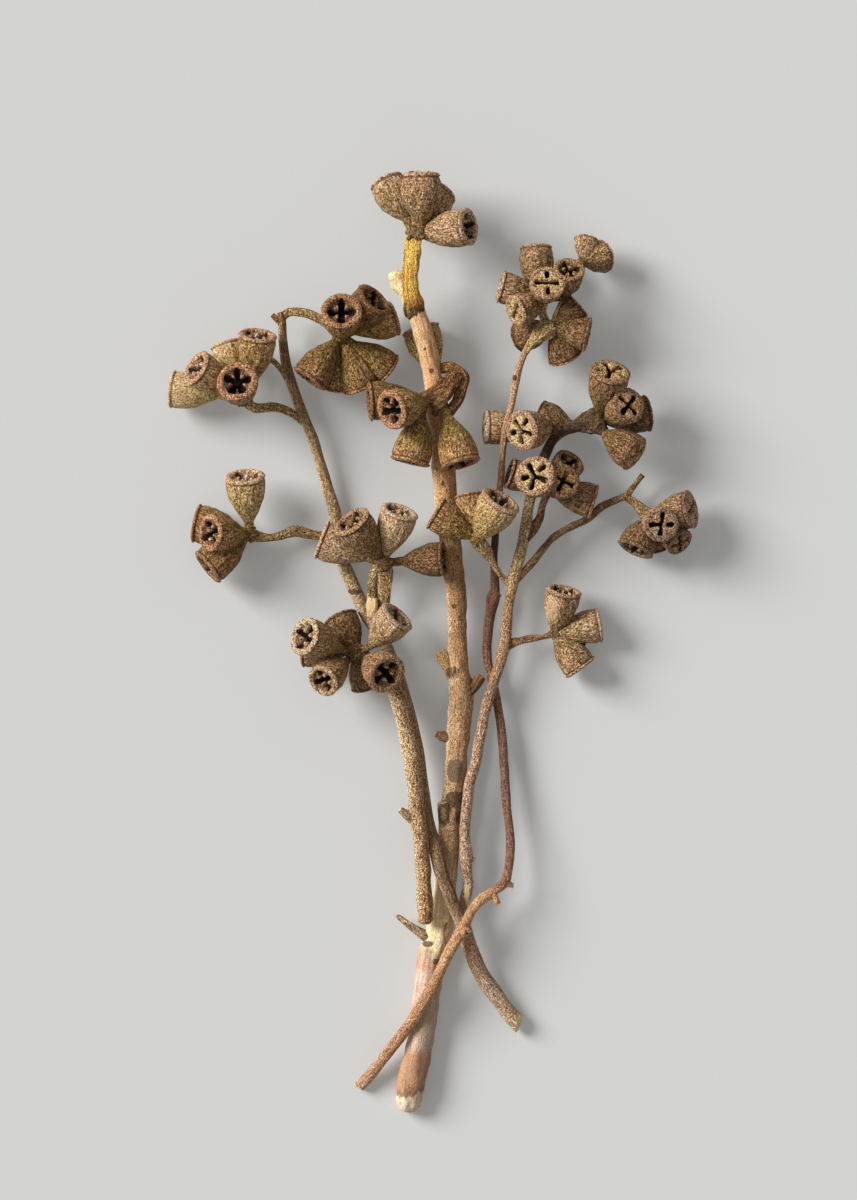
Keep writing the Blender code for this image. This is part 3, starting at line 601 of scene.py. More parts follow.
@dataclass(frozen=True)
class NutWood:
    """The skin of the gum nuts: grainy and matt, greener at the foot, with paler rims and dark slots, painted shade in
    the well, the sunk middle and under the rim, and painted highlights.
    """

    name: str
    foot: Colour
    crown: Colour
    stain: Colour
    rim: Colour
    valve: Colour
    worn_rim: Colour = paint(236, 204, 162)
    slot: Colour = paint(66, 38, 24)
    # Pale grains that are partly painted highlights, and the painted light that pales the brightest nuts
    pale_grain_and_highlight: Colour = paint(214, 184, 144)

    FIBRE_NOISE: ClassVar[Cells] = Cells(1.6, 0.36)
    MOTTLE_NOISE: ClassVar[Cells] = Cells(0.9, 0.6, shift=4.4)
    GRAIN_NOISE: ClassVar[Cells] = Cells(2.1, 1.6, 2.0, 0.8, 9.2)
    BLOTCH_NOISE: ClassVar[Cells] = Cells(0.20, 0.14, 3.0, 0.55, 14.0)
    CROWN_RISE: ClassVar[Span] = (0.30, 0.95)
    STAIN_RISE: ClassVar[Span] = (0.30, 0.70)
    STAIN_COVER: ClassVar[float] = 0.7
    RIM_RISE: ClassVar[Span] = (0.945, 0.985)
    RIM_COVER: ClassVar[float] = 0.75
    WELL_RISE: ClassVar[Span] = (1.25, 1.70)
    WELL_COVER: ClassVar[float] = 0.8
    DIM_WELL: ClassVar[float] = 0.40
    VALVE_RISE: ClassVar[Span] = (0.30, 0.62)
    VALVE_MOTTLE_RISE: ClassVar[Span] = (0.50, 0.66)
    VALVE_MOTTLE: ClassVar[float] = 0.4
    DIM_VALVE: ClassVar[float] = 0.45
    GLINT_RISE: ClassVar[Span] = (0.56, 0.68)
    GLINT_COVER: ClassVar[float] = 0.40
    CRACK_RISE: ClassVar[Span] = (0.60, 0.70)
    CRACK_COVER: ClassVar[float] = 0.35
    DIM_CRACK: ClassVar[float] = 0.3
    LEDGE_RISE: ClassVar[Span] = (0.90, 0.925)
    LEDGE_END: ClassVar[Span] = (0.935, 0.950)
    LEDGE_GRAIN_RISE: ClassVar[Span] = (0.35, 0.55)
    LEDGE_COVER: ClassVar[float] = 0.65
    DIM_LEDGE: ClassVar[float] = 0.25
    SLOT_RISE: ClassVar[Span] = (0.15, 0.65)
    BLEACH_RISE: ClassVar[Span] = (0.36, 0.60)
    GRAIN_CONTRAST: ClassVar[float] = 8.0
    FIBRE_CONTRAST: ClassVar[float] = 3.0
    MOTTLE_CONTRAST: ClassVar[float] = 1.6
    LIGHTEN: ClassVar[float] = 1.16
    LEAST_GRAIN: ClassVar[float] = 0.22
    LEAST_LIGHT: ClassVar[float] = 0.12
    DEEPEN: ClassVar[Span] = (1.20, 1.18)
    RELIEF: ClassVar[float] = 1.0
    ROUGHNESS: ClassVar[float] = 0.66

    def dress(self) -> bpy.types.Material:
        """Build the finish.

        Returns:
            Its material.
        """
        graph = Graph(self.name)
        wood = graph.vector("fibre")
        share, valve, slot = graph.part_of("zone")
        light, tint, pale = graph.part_of("tone")
        fibre, mottle, grain, blotch = (graph.noise(wood, cells) for cells in (
            self.FIBRE_NOISE, self.MOTTLE_NOISE, self.GRAIN_NOISE, self.BLOTCH_NOISE))
        # From the foot to the crown, with stains, a pale rim, painted shade in the well inside it and the valves
        upper = (share + blotch.swing(1.4) + mottle.swing(0.7)).rise(*self.CROWN_RISE)
        colour = graph.mix(upper, self.foot, self.crown)
        stained = (blotch * 0.7 + mottle * 0.3 + tint - MIDDLE_OF_NOISE).rise(*self.STAIN_RISE)
        colour = graph.mix(stained * self.STAIN_COVER, colour, self.stain)
        rim = (share + grain.swing(0.08)).rise(*self.RIM_RISE)
        colour = graph.mix(rim * self.RIM_COVER, colour, graph.mix(pale, self.rim, self.worn_rim))
        painted_well_shade = (share + mottle.swing(0.5)).rise(*self.WELL_RISE)
        colour = graph.mix(painted_well_shade * self.WELL_COVER, colour, dimmed(self.rim, self.DIM_WELL))
        mottled = mottle.rise(*self.VALVE_MOTTLE_RISE) * self.VALVE_MOTTLE
        valve_colour = graph.mix(mottled, self.valve, dimmed(self.valve, self.DIM_VALVE))
        on_valve = (valve + mottle.swing(0.6) + grain.swing(0.3)).rise(*self.VALVE_RISE)
        colour = graph.mix(on_valve, colour, valve_colour)
        # Grain as light and shade, with pale grains that are partly painted highlights, cracks and painted shade under
        # the rim
        shade = (grain.swing(self.GRAIN_CONTRAST) + self.LIGHTEN).most(self.LEAST_GRAIN)
        shade = shade * (fibre.swing(self.FIBRE_CONTRAST) + 1)
        colour = graph.lit(colour, (shade * (mottle.swing(self.MOTTLE_CONTRAST) + 1)).most(self.LEAST_LIGHT))
        # Pale grains, partly their own colour and partly painted highlights
        glint = (grain * 0.6 + mottle * 0.4).rise(*self.GLINT_RISE) * (1 - slot)
        colour = graph.mix(glint * self.GLINT_COVER, colour, self.pale_grain_and_highlight)
        crack = fibre.rise(*self.CRACK_RISE) * (1 - valve)
        colour = graph.mix(crack * self.CRACK_COVER, colour, dimmed(self.foot, self.DIM_CRACK))
        ledge = share.rise(*self.LEDGE_RISE) * (1 - share.rise(*self.LEDGE_END))
        ledge = ledge * grain.rise(*self.LEDGE_GRAIN_RISE) * self.LEDGE_COVER
        colour = graph.mix(ledge, colour, dimmed(self.crown, self.DIM_LEDGE))
        # Slots and the painted shade of the sunk middle, then the nut's own light, partly its tone and partly painted
        # shade and light; above 1 it also pales as painted light
        colour = graph.lit(graph.mix(slot.rise(*self.SLOT_RISE), colour, self.slot), light)
        painted_paling = (light - 1).most(0.0) * (grain.rise(*self.BLEACH_RISE) * 0.5 + 0.3)
        colour = graph.mix(painted_paling, colour, self.pale_grain_and_highlight)
        height = fibre * 0.9 + mottle * 0.6 + grain * 1.0 - crack * 0.2
        return graph.finish(graph.deepen(colour, *self.DEEPEN), height, self.RELIEF,
                            self.ROUGHNESS + grain.swing(0.3))


@dataclass
class Mark:
    """A scar or a patch on a stem, at a place seen from above."""

    x: float
    y: float
    across: float
    along: float
    zone: Zone = Zone.SCAR
    force: float = 1.0

    SQUARENESS: ClassVar[int] = 3
    EDGE: ClassVar[Span] = (-1.35, -0.55)
    UPWARD: ClassVar[Span] = (-0.6, 0.1)

    def strength(self, grid: Array, upward: Array) -> Array:
        """How strongly each point is marked.

        Args:
            grid: The stem's points.
            upward: How much each point faces up.

        Returns:
            Values from 0 to 1.
        """
        far = (np.abs((grid[..., 0] - self.x) / self.across) ** self.SQUARENESS
               + np.abs((grid[..., 1] - self.y) / self.along) ** self.SQUARENESS) ** (1 / self.SQUARENESS)
        return self.force * soft_step(-far, *self.EDGE) * soft_step(upward, *self.UPWARD)


@dataclass
class Slant:
    """A slanting cut: a point of the cut and the normal that looks out of it."""

    point: Point
    normal: Point

    def trim(self, ring: Array, tangent: Array) -> tuple[Array, Array]:
        """Slide points that lie beyond the cut back on to it.

        Args:
            ring: Points around the stem.
            tangent: The stem's direction there.

        Returns:
            The ring, with no point beyond the cut, and which of its points are cut wood.
        """
        normal = unit(np.array(self.normal))
        beyond = np.maximum((ring - np.array(self.point)) @ normal, 0.0)
        return ring - np.outer(beyond / (tangent @ normal), tangent), beyond > 0.0


# Rings that close a cut end: shares of its radius, with how far out each is pushed
CAP_RINGS = ((0.985, 0.10), (0.93, 0.16), (0.70, 0.14), (0.42, 0.10), (0.15, 0.06))
SMOOTH_CAP = 0.95
CUT_REACH = 8.0
# Along the sheaf, where a leaning run's bands start to slant, and where they stop, counted the other way
KNUCKLE_RISE = (-107.0, -102.0)
KNUCKLE_FALL = (82.0, 92.0)
# Where the painted shade on a stem's right side and the painted light on its left side fade in, by which way the
# surface faces
PAINTED_SHADE_SPAN = (-0.5, 0.5)
PAINTED_LIGHT_SPAN = (0.45, 0.95)
# How the wood is squeezed before its lumps and ribs are read, and how long their waves are
LUMP_SQUEEZE, LUMP_WAVE = (0.5, 0.5, 0.35), 2.2
RIB_SQUEEZE, RIB_WAVE = (1.4, 1.4, 0.10), 1.6
# How far each seed moves a run in its wood, where that wraps around, and its chance
SEED_STEPS, SEED_RANGE, SEED_CHANCE = (13.7, 7.1, 0.0), 50, 0.37


@dataclass
class Run:
    """One swept length of wood: a stem, a stub, a twig or a flattened stalk."""

    route: list[Waypoint]
    sides: int = 40
    step: float = 0.8
    flatness: float = 1.0
    lumps: float = 0.035
    grooves: float = 0.02
    seed: int = 1
    start_cut: Optional[Slant] = None
    marks: tuple[Mark, ...] = ()
    ragged: float = 0.05
    dark: float = 0.0
    # How much painted shade the run's right side gets, and how much painted light its left side gets
    painted_shade_side: float = 0.0
    painted_light_side: float = 0.0
    bare: float = 0.0
    lean: float = 0.0
    share_from: Optional[Span] = None

    def frames(self) -> tuple[Array, Array, Array, Array, Array]:
        """The run's centre line with its directions.

        Returns:
            Centres, radii, tangents, sideways directions and downward directions.
        """
        line = smooth_route(self.route, self.step)
        centres, radii = line[:, :3], line[:, 3]
        tangents = unit(np.gradient(centres, axis=0))
        sideways = unit(np.cross(tangents, UP))
        return centres, radii, tangents, sideways, np.cross(tangents, sideways)

    def grow(self, shell: Shell) -> None:
        """Add the run to a shell, with rounded and grained cut ends.

        Args:
            shell: What gathers the mesh.
        """
        centres, radii, tangents, sideways, down = self.frames()
        lengths = np.concatenate([[0.0], np.cumsum(np.linalg.norm(np.diff(centres, axis=0), axis=1))])
        _, round_x, round_y = ring_of(self.sides)
        rows = len(centres)
        wood = np.empty((rows, self.sides, 3))
        wood[..., 0] = radii[:, None] * round_x
        wood[..., 1] = radii[:, None] * round_y
        wood[..., 2] = lengths[:, None]
        offset = self.seed * np.array(SEED_STEPS) % SEED_RANGE
        swell = self.lumps * ripple(wood * LUMP_SQUEEZE + offset, LUMP_WAVE, self.seed)
        ribs = self.grooves * ripple(wood * RIB_SQUEEZE + offset, RIB_WAVE, self.seed + 1)
        size = radii[:, None] * (1.0 + swell + ribs)
        spread = size[..., None] * (round_x[None, :, None] * sideways[:, None]
                                    + self.flatness * round_y[None, :, None] * down[:, None])
        grid = centres[:, None] + spread
        zone = np.zeros_like(grid)
        zone[..., 0] = self.bare
        if self.start_cut:
            reach = int(CUT_REACH / self.step) + 2
            for row in range(min(reach, rows)):
                grid[row], sawn = self.start_cut.trim(grid[row], tangents[row])
                zone[row, sawn, 0] = 1.0
        upward = unit(spread)[..., 2]
        for mark in self.marks:
            part = zone[..., mark.zone.value]
            np.maximum(part, mark.strength(grid, upward), out=part)
        grid, wood, zone = self.capped(grid, wood + offset, zone, tangents)
        share = self.shares(grid)
        chance = np.full(share.shape, self.seed * SEED_CHANCE % 1)
        dark = np.full(share.shape, self.dark)
        # Painted shade on the right side of the run and painted light on its left side
        aside = unit(spread)[..., 0]
        caps = len(CAP_RINGS)
        dark[caps:-caps] += (self.painted_shade_side * soft_step(aside, *PAINTED_SHADE_SPAN)
                             - self.painted_light_side * soft_step(-aside, *PAINTED_LIGHT_SPAN))
        shell.add(grid, wood, zone, np.stack([share, chance, dark], axis=-1))

    def shares(self, grid: Array) -> Array:
        """How far along the whole branch each point is.

        Args:
            grid: The run's points.

        Returns:
            Shares from 0 to 1, read along the sheaf.
        """
        low, high = self.share_from or (self.route[0][1], self.route[-1][1])
        level = grid[..., 1]
        if self.lean:
            near_knuckle = soft_step(level, *KNUCKLE_RISE) * soft_step(-level, *KNUCKLE_FALL)
            level = level + self.lean * near_knuckle * (grid[..., 0] - grid[..., 0].mean(axis=1, keepdims=True))
        return np.clip((level - low) / (high - low), 0.0, 1.0)

    def capped(self, grid: Array, wood: Array, zone: Array, tangents: Array) -> tuple[Array, Array, Array]:
        """Close both ends with rings of cut wood.

        Args:
            grid: The run's points.
            wood: Where they lie in the wood.
            zone: What kind of surface they are on.
            tangents: The run's directions.

        Returns:
            The three of them with the end rings added.
        """
        rng = np.random.default_rng(self.seed)
        for end, way in ((0, -1.0), (-1, 1.0)):
            ring, fibres, middle = grid[end], wood[end], grid[end].mean(axis=0)
            heart = fibres.mean(axis=0)
            caps, cap_fibres = [], []
            for share, push in CAP_RINGS:
                rough = rng.normal(0, self.ragged, len(ring))[:, None] * (share < SMOOTH_CAP)
                caps.append(middle + (ring - middle) * share + tangents[end] * (way * push + rough))
                cap_fibres.append(heart + (fibres - heart) * share)
            cut_zone = np.zeros((len(caps), *ring.shape))
            cut_zone[1:, :, 0] = 1.0
            blocks = [(caps, grid), (cap_fibres, wood), (cut_zone, zone)]
            if end == 0:
                grid, wood, zone = (np.concatenate([np.array(cap)[::-1], body]) for cap, body in blocks)
            else:
                grid, wood, zone = (np.concatenate([body, np.array(cap)]) for cap, body in blocks)
        return grid, wood, zone


class Face(Enum):
    """How a gum nut's mouth looks."""

    OPEN = "open"
    DISC = "disc"
    TOOTHED = "toothed"


@dataclass
class MouthShape:
    """Rings from a nut's rim to its middle: radius, height on a valve, height in a slot, slot half-width.

    All of them are in mouth radii, and heights are measured from the top of the nut.
    """

    rings: tuple[tuple[float, float, float, float], ...]
    disc_outer: float
    disc_inner: float


MOUTHS = {
    Face.TOOTHED: MouthShape(disc_outer=0.10, disc_inner=0.06, rings=(
        (0.89, 0.02, 0.02, 0.0), (0.835, 0.045, 0.045, 0.0), (0.78, 0.065, 0.065, 0.0), (0.73, 0.07, 0.06, 0.04),
        (0.69, 0.085, -0.02, 0.1), (0.65, 0.1, -0.15, 0.15), (0.6, 0.115, -0.3, 0.17), (0.54, 0.13, -0.4, 0.18),
        (0.48, 0.14, -0.5, 0.18), (0.42, 0.145, -0.55, 0.175), (0.36, 0.14, -0.6, 0.17), (0.3, 0.1, -0.62, 0.16),
        (0.24, -0.1, -0.65, 0.15), (0.16, -0.45, -0.68, 0.12), (0.05, -0.7, -0.7, 0.09))),
    Face.OPEN: MouthShape(disc_outer=0.47, disc_inner=0.22, rings=(
        (0.89, 0.02, 0.02, 0.0), (0.835, 0.035, 0.035, 0.0), (0.78, 0.035, 0.035, 0.0), (0.73, 0.015, 0.01, 0.0),
        (0.69, -0.03, -0.05, 0.07), (0.65, -0.09, -0.2, 0.13), (0.6, -0.15, -0.4, 0.16),
        (0.54, -0.18, -0.55, 0.17), (0.48, -0.17, -0.62, 0.165), (0.42, -0.13, -0.66, 0.16),
        (0.37, -0.09, -0.68, 0.15), (0.32, -0.06, -0.7, 0.145), (0.27, -0.08, -0.72, 0.14),
        (0.21, -0.3, -0.72, 0.13), (0.14, -0.6, -0.74, 0.09), (0.05, -0.76, -0.76, 0.09))),
    Face.DISC: MouthShape(disc_outer=0.78, disc_inner=0.06, rings=(
        (0.89, 0.03, 0.03, 0.0), (0.85, 0.045, 0.045, 0.0), (0.8, 0.045, 0.045, 0.0), (0.755, 0.035, 0.01, 0.05),
        (0.705, 0.03, -0.12, 0.095), (0.65, 0.035, -0.3, 0.125), (0.59, 0.045, -0.42, 0.13),
        (0.52, 0.055, -0.46, 0.125), (0.45, 0.065, -0.48, 0.115), (0.38, 0.072, -0.5, 0.105),
        (0.31, 0.08, -0.5, 0.1), (0.24, 0.08, -0.5, 0.095), (0.175, 0.07, -0.5, 0.095), (0.12, 0.0, -0.5, 0.095),
        (0.08, -0.3, -0.5, 0.09), (0.04, -0.48, -0.5, 0.08))),
}

# The outside of a nut: shares of its length, with shares of its mouth's radius on a slim and a full nut
PROFILE = (
    (0.0, 0.2, 0.2), (0.06, 0.27, 0.3), (0.12, 0.36, 0.42), (0.2, 0.47, 0.58), (0.3, 0.6, 0.74), (0.4, 0.72, 0.86),
    (0.5, 0.82, 0.945), (0.6, 0.89, 0.99), (0.7, 0.935, 1.0), (0.8, 0.96, 0.985), (0.86, 0.965, 0.96),
    (0.9, 0.955, 0.93), (0.915, 0.94, 0.91), (0.93, 0.915, 0.88), (0.942, 0.93, 0.89), (0.955, 0.985, 0.93),
    (0.968, 1.0, 0.945), (0.98, 0.995, 0.94), (0.993, 0.96, 0.9))
RIM_ROWS = 7


@dataclass
class GumNut:
    """One woody seed capsule: a funnel with a thick rim, valves and the slots between them."""

    mouth: Point
    radius: float
    valves: int = 4
    face: Face = Face.OPEN
    turn: float = 0.0
    root: Optional[Point] = None
    # How bright the nut is: partly its own tone, partly painted shade and painted light
    light: float = 1.0
    tint: float = 0.3
    belly: float = 0.0
    pale: float = 0.0
    apart: tuple[int, ...] = ()
    # A patch where the nut is brighter and paler
    brighter_patch: Optional[Mark] = None
    length_in_radii: float = 2.55

    SIDES: ClassVar[int] = 80
    SIDE_ROWS: ClassVar[int] = 22
    SLOT_EDGE: ClassVar[float] = 0.035
    STALK_RADIUS: ClassVar[float] = 1.35
    STALK_SIDES: ClassVar[int] = 20
    FOOT_RADIUS: ClassVar[float] = 0.24
    FOOT_SINK: ClassVar[float] = 2.5
    STALK_LUMPS: ClassVar[float] = 0.08
    STALK_WAVE: ClassVar[float] = 1.6
    STALK_GRAIN_FROM: ClassVar[float] = 20.0
    STALK_TONE: ClassVar[Point] = (0.8, 1, 1)
    LIGHT_CHANCE: ClassVar[Span] = (0.92, 1.08)
    TINT_CHANCE: ClassVar[Span] = (-0.12, 0.12)
    ANY_TURN: ClassVar[Span] = (0, 6.3)
    SHAPE_SEED: ClassVar[int] = 500
    # Wrinkles: their height, how they are squeezed along the nut and how long their waves are
    WRINKLES: ClassVar[tuple[Point, ...]] = ((0.020, 0.14, 2.1), (0.012, 0.3, 1.0))
    SLOT_LEAN: ClassVar[Span] = (-0.09, 0.09)
    SLOT_WIDTH: ClassVar[Span] = (0.85, 1.25)
    SLOT_START: ClassVar[float] = 0.27
    SLOT_END: ClassVar[Span] = (0.64, 0.78)

    def grow(self, shell: Shell, hub: Array, seed: int) -> None:
        """Add the nut and the short stalk under it to a shell.

        Args:
            shell: What gathers the mesh.
            hub: The middle of the hub that it grows from.
            seed: What makes this nut differ from the others.
        """
        root = np.array(self.root) if self.root else hub
        mouth = np.array(self.mouth)
        axis = unit(mouth - root)
        length = min(float(np.linalg.norm(mouth - root)), self.length_in_radii * self.radius)
        across, over = self.directions(axis)
        local, zone = self.shape(length, seed)
        foot = mouth - axis * length
        grid = foot + local[..., :1] * across + local[..., 1:2] * over + local[..., 2:3] * axis
        rng = np.random.default_rng(seed)
        offset = rng.uniform(0, 60, 3)
        # The nut's light is partly its own tone and partly painted shade and painted light
        tone = np.broadcast_to([self.light * rng.uniform(*self.LIGHT_CHANCE),
                                self.tint + rng.uniform(*self.TINT_CHANCE), self.pale], grid.shape).copy()
        # Brighter and paler where the patch lies
        if self.brighter_patch:
            tone[..., 0] += self.brighter_patch.strength(grid, np.ones(grid.shape[:2]))
        shell.add(grid, local + offset, zone, tone)
        self.grow_stalk(shell, [hub, root, foot + axis * self.FOOT_SINK], tone[0, 0].copy(), seed)

    def grow_stalk(self, shell: Shell, points: list[Array], tone: Array, seed: int) -> None:
        """Add the short stalk that joins the nut to its hub.

        Args:
            shell: What gathers the mesh.
            points: The hub, the root and a point inside the nut's foot.
            tone: How this nut differs from the next, its painted light and shade included.
            seed: What makes its surface differ.
        """
        route = [(*points[0], self.STALK_RADIUS)]
        if np.linalg.norm(points[1] - points[0]) > 0.5:
            route.append((*points[1], self.STALK_RADIUS))
        route.append((*points[2], self.radius * self.FOOT_RADIUS))
        line = smooth_route(route, 1.0)
        tangents = unit(np.gradient(line[:, :3], axis=0))
        sideways = unit(np.cross(tangents, UP if abs(tangents[0][2]) < 0.9 else ALONG))
        down = np.cross(tangents, sideways)
        _, round_x, round_y = ring_of(self.STALK_SIDES)
        spread = line[:, 3:4, None] * (round_x[:, None] * sideways[:, None] + round_y[:, None] * down[:, None])
        lumps = self.STALK_LUMPS * ripple(line[:, None, :3] + spread, self.STALK_WAVE, seed)
        grid = line[:, None, :3] + spread * (1 + lumps[..., None])
        shell.add(grid, grid + self.STALK_GRAIN_FROM, np.zeros_like(grid),
                  np.broadcast_to(tone * self.STALK_TONE, grid.shape))

    def directions(self, axis: Array) -> tuple[Array, Array]:
        """The nut's own sideways directions, turned so that its slots face as in the photo.

        Args:
            axis: From its foot to its mouth.

        Returns:
            The direction of its first slot, and the one square to it.
        """
        lean = ALONG if abs(axis[1]) <= 0.9 else ACROSS
        side = unit(lean - axis * (lean @ axis))
        turn = math.radians(self.turn)
        across = side * math.cos(turn) + np.cross(axis, side) * math.sin(turn)
        return across, np.cross(axis, across)

    def shape(self, length: float, seed: int) -> tuple[Array, Array]:
        """The nut's surface from its foot up its outside, over its rim and down among its valves.

        Args:
            length: From its foot to its mouth.
            seed: What makes this nut differ from the others.

        Returns:
            Its points, with its axis as z, and what kind of surface each is on.
        """
        rng = np.random.default_rng(seed + self.SHAPE_SEED)
        angle, round_x, round_y = ring_of(self.SIDES)
        at, slim, full = np.array(PROFILE).T
        share = np.concatenate([np.linspace(0, 1, self.SIDE_ROWS) ** 0.75 * 0.90, at[-RIM_ROWS:]])
        profile = np.interp(share, at, slim) * (1 - self.belly) + np.interp(share, at, full) * self.belly
        oval = 1 + 0.02 * np.cos(2 * angle + rng.uniform(*self.ANY_TURN))
        ribs = (0.016 * np.cos(self.valves * angle)
                + 0.010 * np.cos(2 * self.valves * angle + rng.uniform(*self.ANY_TURN)))
        fade = np.sin(np.pi * np.clip(share, 0, 1) ** 0.8)[:, None]
        outer = np.empty((len(share), self.SIDES, 3))
        outer_radius = self.radius * profile[:, None] * oval * (1 + ribs * fade)
        outer[..., 0] = outer_radius * round_x
        outer[..., 1] = outer_radius * round_y
        outer[..., 2] = (share * length)[:, None]
        wrinkle = sum(height * ripple(outer * (1.0, 1.0, squeeze) + seed, wave, seed + index)
                      for index, (height, squeeze, wave) in enumerate(self.WRINKLES, 2))
        outer[..., :2] *= (1 + wrinkle * (0.35 + 0.65 * fade))[..., None]
        inner, in_slot = self.inside(length, oval, rng)
        inner[..., 2] += 0.05 * ripple(inner, 1.4, seed + 4)
        return np.concatenate([outer, inner]), self.zones(share, in_slot)

    def inside(self, length: float, oval: Array, rng: np.random.Generator) -> tuple[Array, Array]:
        """The nut's surface inside its rim, with its valves and slots.

        Args:
            length: From its foot to its mouth.
            oval: How far each column is from round.
            rng: What makes this nut differ from the others.

        Returns:
            Its points, and how far each is inside a slot.
        """
        reach, valve_height, slot_height, half_width = np.array(MOUTHS[self.face].rings).T[..., None]
        angle, round_x, round_y = ring_of(self.SIDES)
        radius = self.radius * reach * (oval - 1) * reach + self.radius * reach
        sector = FULL_TURN / self.valves
        slot = np.round(angle / sector).astype(int) % self.valves
        lean = rng.uniform(*self.SLOT_LEAN, self.valves)[slot]
        away = np.abs((angle + sector / 2 - lean) % sector - sector / 2)
        wide = half_width * rng.uniform(*self.SLOT_WIDTH, self.valves)[slot]
        in_slot = 1 - soft_step((reach * away - wide) / self.SLOT_EDGE, -1.0, 1.0)
        in_slot *= half_width > 0
        if self.face is Face.DISC:
            short = np.isin(slot, self.apart) * self.SLOT_START
            in_slot *= soft_step(reach - short, -0.02, 0.03)
            in_slot *= 1 - soft_step(reach - rng.uniform(*self.SLOT_END, self.valves)[slot], -0.03, 0.03)
        height = valve_height * (1 - in_slot) + slot_height * in_slot
        tilt = 1 + 0.25 * np.cos(angle + rng.uniform(*self.ANY_TURN)) * (reach < 0.7)
        inner = np.stack([radius * round_x, radius * round_y, length + self.radius * height * tilt], axis=-1)
        return inner, in_slot

    def zones(self, share: Array, in_slot: Array) -> Array:
        """What kind of surface each of the nut's points is on.

        Args:
            share: How far up the outside each of its rows is.
            in_slot: How far each point inside its rim is in a slot.

        Returns:
            The rim, valve and slot shares of each point.
        """
        mouth = MOUTHS[self.face]
        reach, valve_height = np.array(mouth.rings).T[:2, :, None]
        zone = np.zeros((len(share) + len(reach), self.SIDES, 3))
        zone[:len(share), :, 0] = share[:, None]
        inner = zone[len(share):]
        # Painted shade deep in the well inside the rim
        painted_well_shade = soft_step(-reach, -0.72, -0.60) if self.face is Face.OPEN else 0.35 * soft_step(-reach, -0.8, -0.6)
        inner[..., 0] = 1.0 + painted_well_shade
        pale = 1 - soft_step(reach, mouth.disc_outer - 0.14, mouth.disc_outer)
        inner[..., 1] = pale * soft_step(reach, mouth.disc_inner - 0.06, mouth.disc_inner) * (1 - in_slot)
        # Painted shade: the sunk middle of the mouth takes the slot colour
        painted_sunk_shade = soft_step(-valve_height, 0.15, 0.35) * (reach < 0.6)
        inner[..., 2] = np.maximum(in_slot * soft_step(-reach, -0.77, -0.68), painted_sunk_shade)
        return zone


@dataclass
class Umbel:
    """A head of gum nuts on its flattened stalk."""

    node: str
    wood: NutWood
    stalk: Bark
    hubs: list[Waypoint]
    straps: list[list[Waypoint]]
    nuts: list[GumNut]
    bare: tuple[int, ...] = ()

    WIDE_STRAP: ClassVar[float] = 1.2
    WIDE_FLATNESS: ClassVar[float] = 0.5
    NARROW_FLATNESS: ClassVar[float] = 0.8
    SEEDS: ClassVar[int] = 40
    FIRST_HUB_SEED: ClassVar[int] = 30
    STRAP_SEEDS: ClassVar[int] = 10
    HUB_ROWS: ClassVar[int] = 18
    HUB_SIDES: ClassVar[int] = 32
    HUB_GRAIN_FROM: ClassVar[float] = 9.0
    HUB_TONE: ClassVar[Point] = (0.72, 0.4, 0.5)

    def dress(self, finishes: dict[str, bpy.types.Material], seed: int) -> None:
        """Build the head and its stalk, and let them stand for their node.

        Args:
            finishes: The materials by name.
            seed: What makes this head differ from the others.
        """
        head = Shell()
        for index, nut in enumerate(self.nuts):
            nut.grow(head, self.nearest_hub(nut.root or nut.mouth), seed * self.SEEDS + index)
        for index, hub in enumerate(self.hubs, self.FIRST_HUB_SEED):
            self.grow_hub(head, hub, seed * self.SEEDS + index)
        pieces = [head.build(f"{self.node}_head", finishes[self.wood.name], NUT_CREASE)]
        stalk = Shell()
        for index, strap in enumerate(self.straps):
            flat = self.WIDE_FLATNESS if strap[0][3] > self.WIDE_STRAP else self.NARROW_FLATNESS
            Run(strap, sides=28, step=0.6, flatness=flat, lumps=0.05, grooves=0.06,
                seed=seed * self.STRAP_SEEDS + index, bare=float(index in self.bare)).grow(stalk)
        pieces.append(stalk.build(f"{self.node}_stalk", finishes[self.stalk.name], BARK_CREASE))
        for piece in pieces:
            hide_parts(self.node)
        log.info("%s: %d nuts on %d stalks", self.node, len(self.nuts), len(self.straps))

    def nearest_hub(self, point: Point) -> Array:
        """The middle of the hub that lies nearest to a point."""
        return min((np.array(hub[:3]) for hub in self.hubs), key=lambda hub: np.linalg.norm(hub - np.array(point)))

    def grow_hub(self, shell: Shell, hub: Waypoint, seed: int) -> None:
        """Add the knobbly swelling that the nuts grow from.

        Args:
            shell: What gathers the mesh.
            hub: Its middle and radius.
            seed: What makes its lumps differ.
        """
        tall = np.linspace(-0.98, 0.98, self.HUB_ROWS)[:, None]
        _, round_x, round_y = ring_of(self.HUB_SIDES)
        ring = np.sqrt(1 - tall ** 2)
        ball = np.stack([ring * round_x, ring * round_y, np.broadcast_to(tall, (self.HUB_ROWS, self.HUB_SIDES))],
                        axis=-1)
        ball = ball * hub[3] * (0.98 + 0.10 * ripple(ball * hub[3], 1.8, seed))[..., None]
        shell.add(np.array(hub[:3]) + ball, ball + self.HUB_GRAIN_FROM, np.zeros_like(ball),
                  np.broadcast_to(self.HUB_TONE, ball.shape))


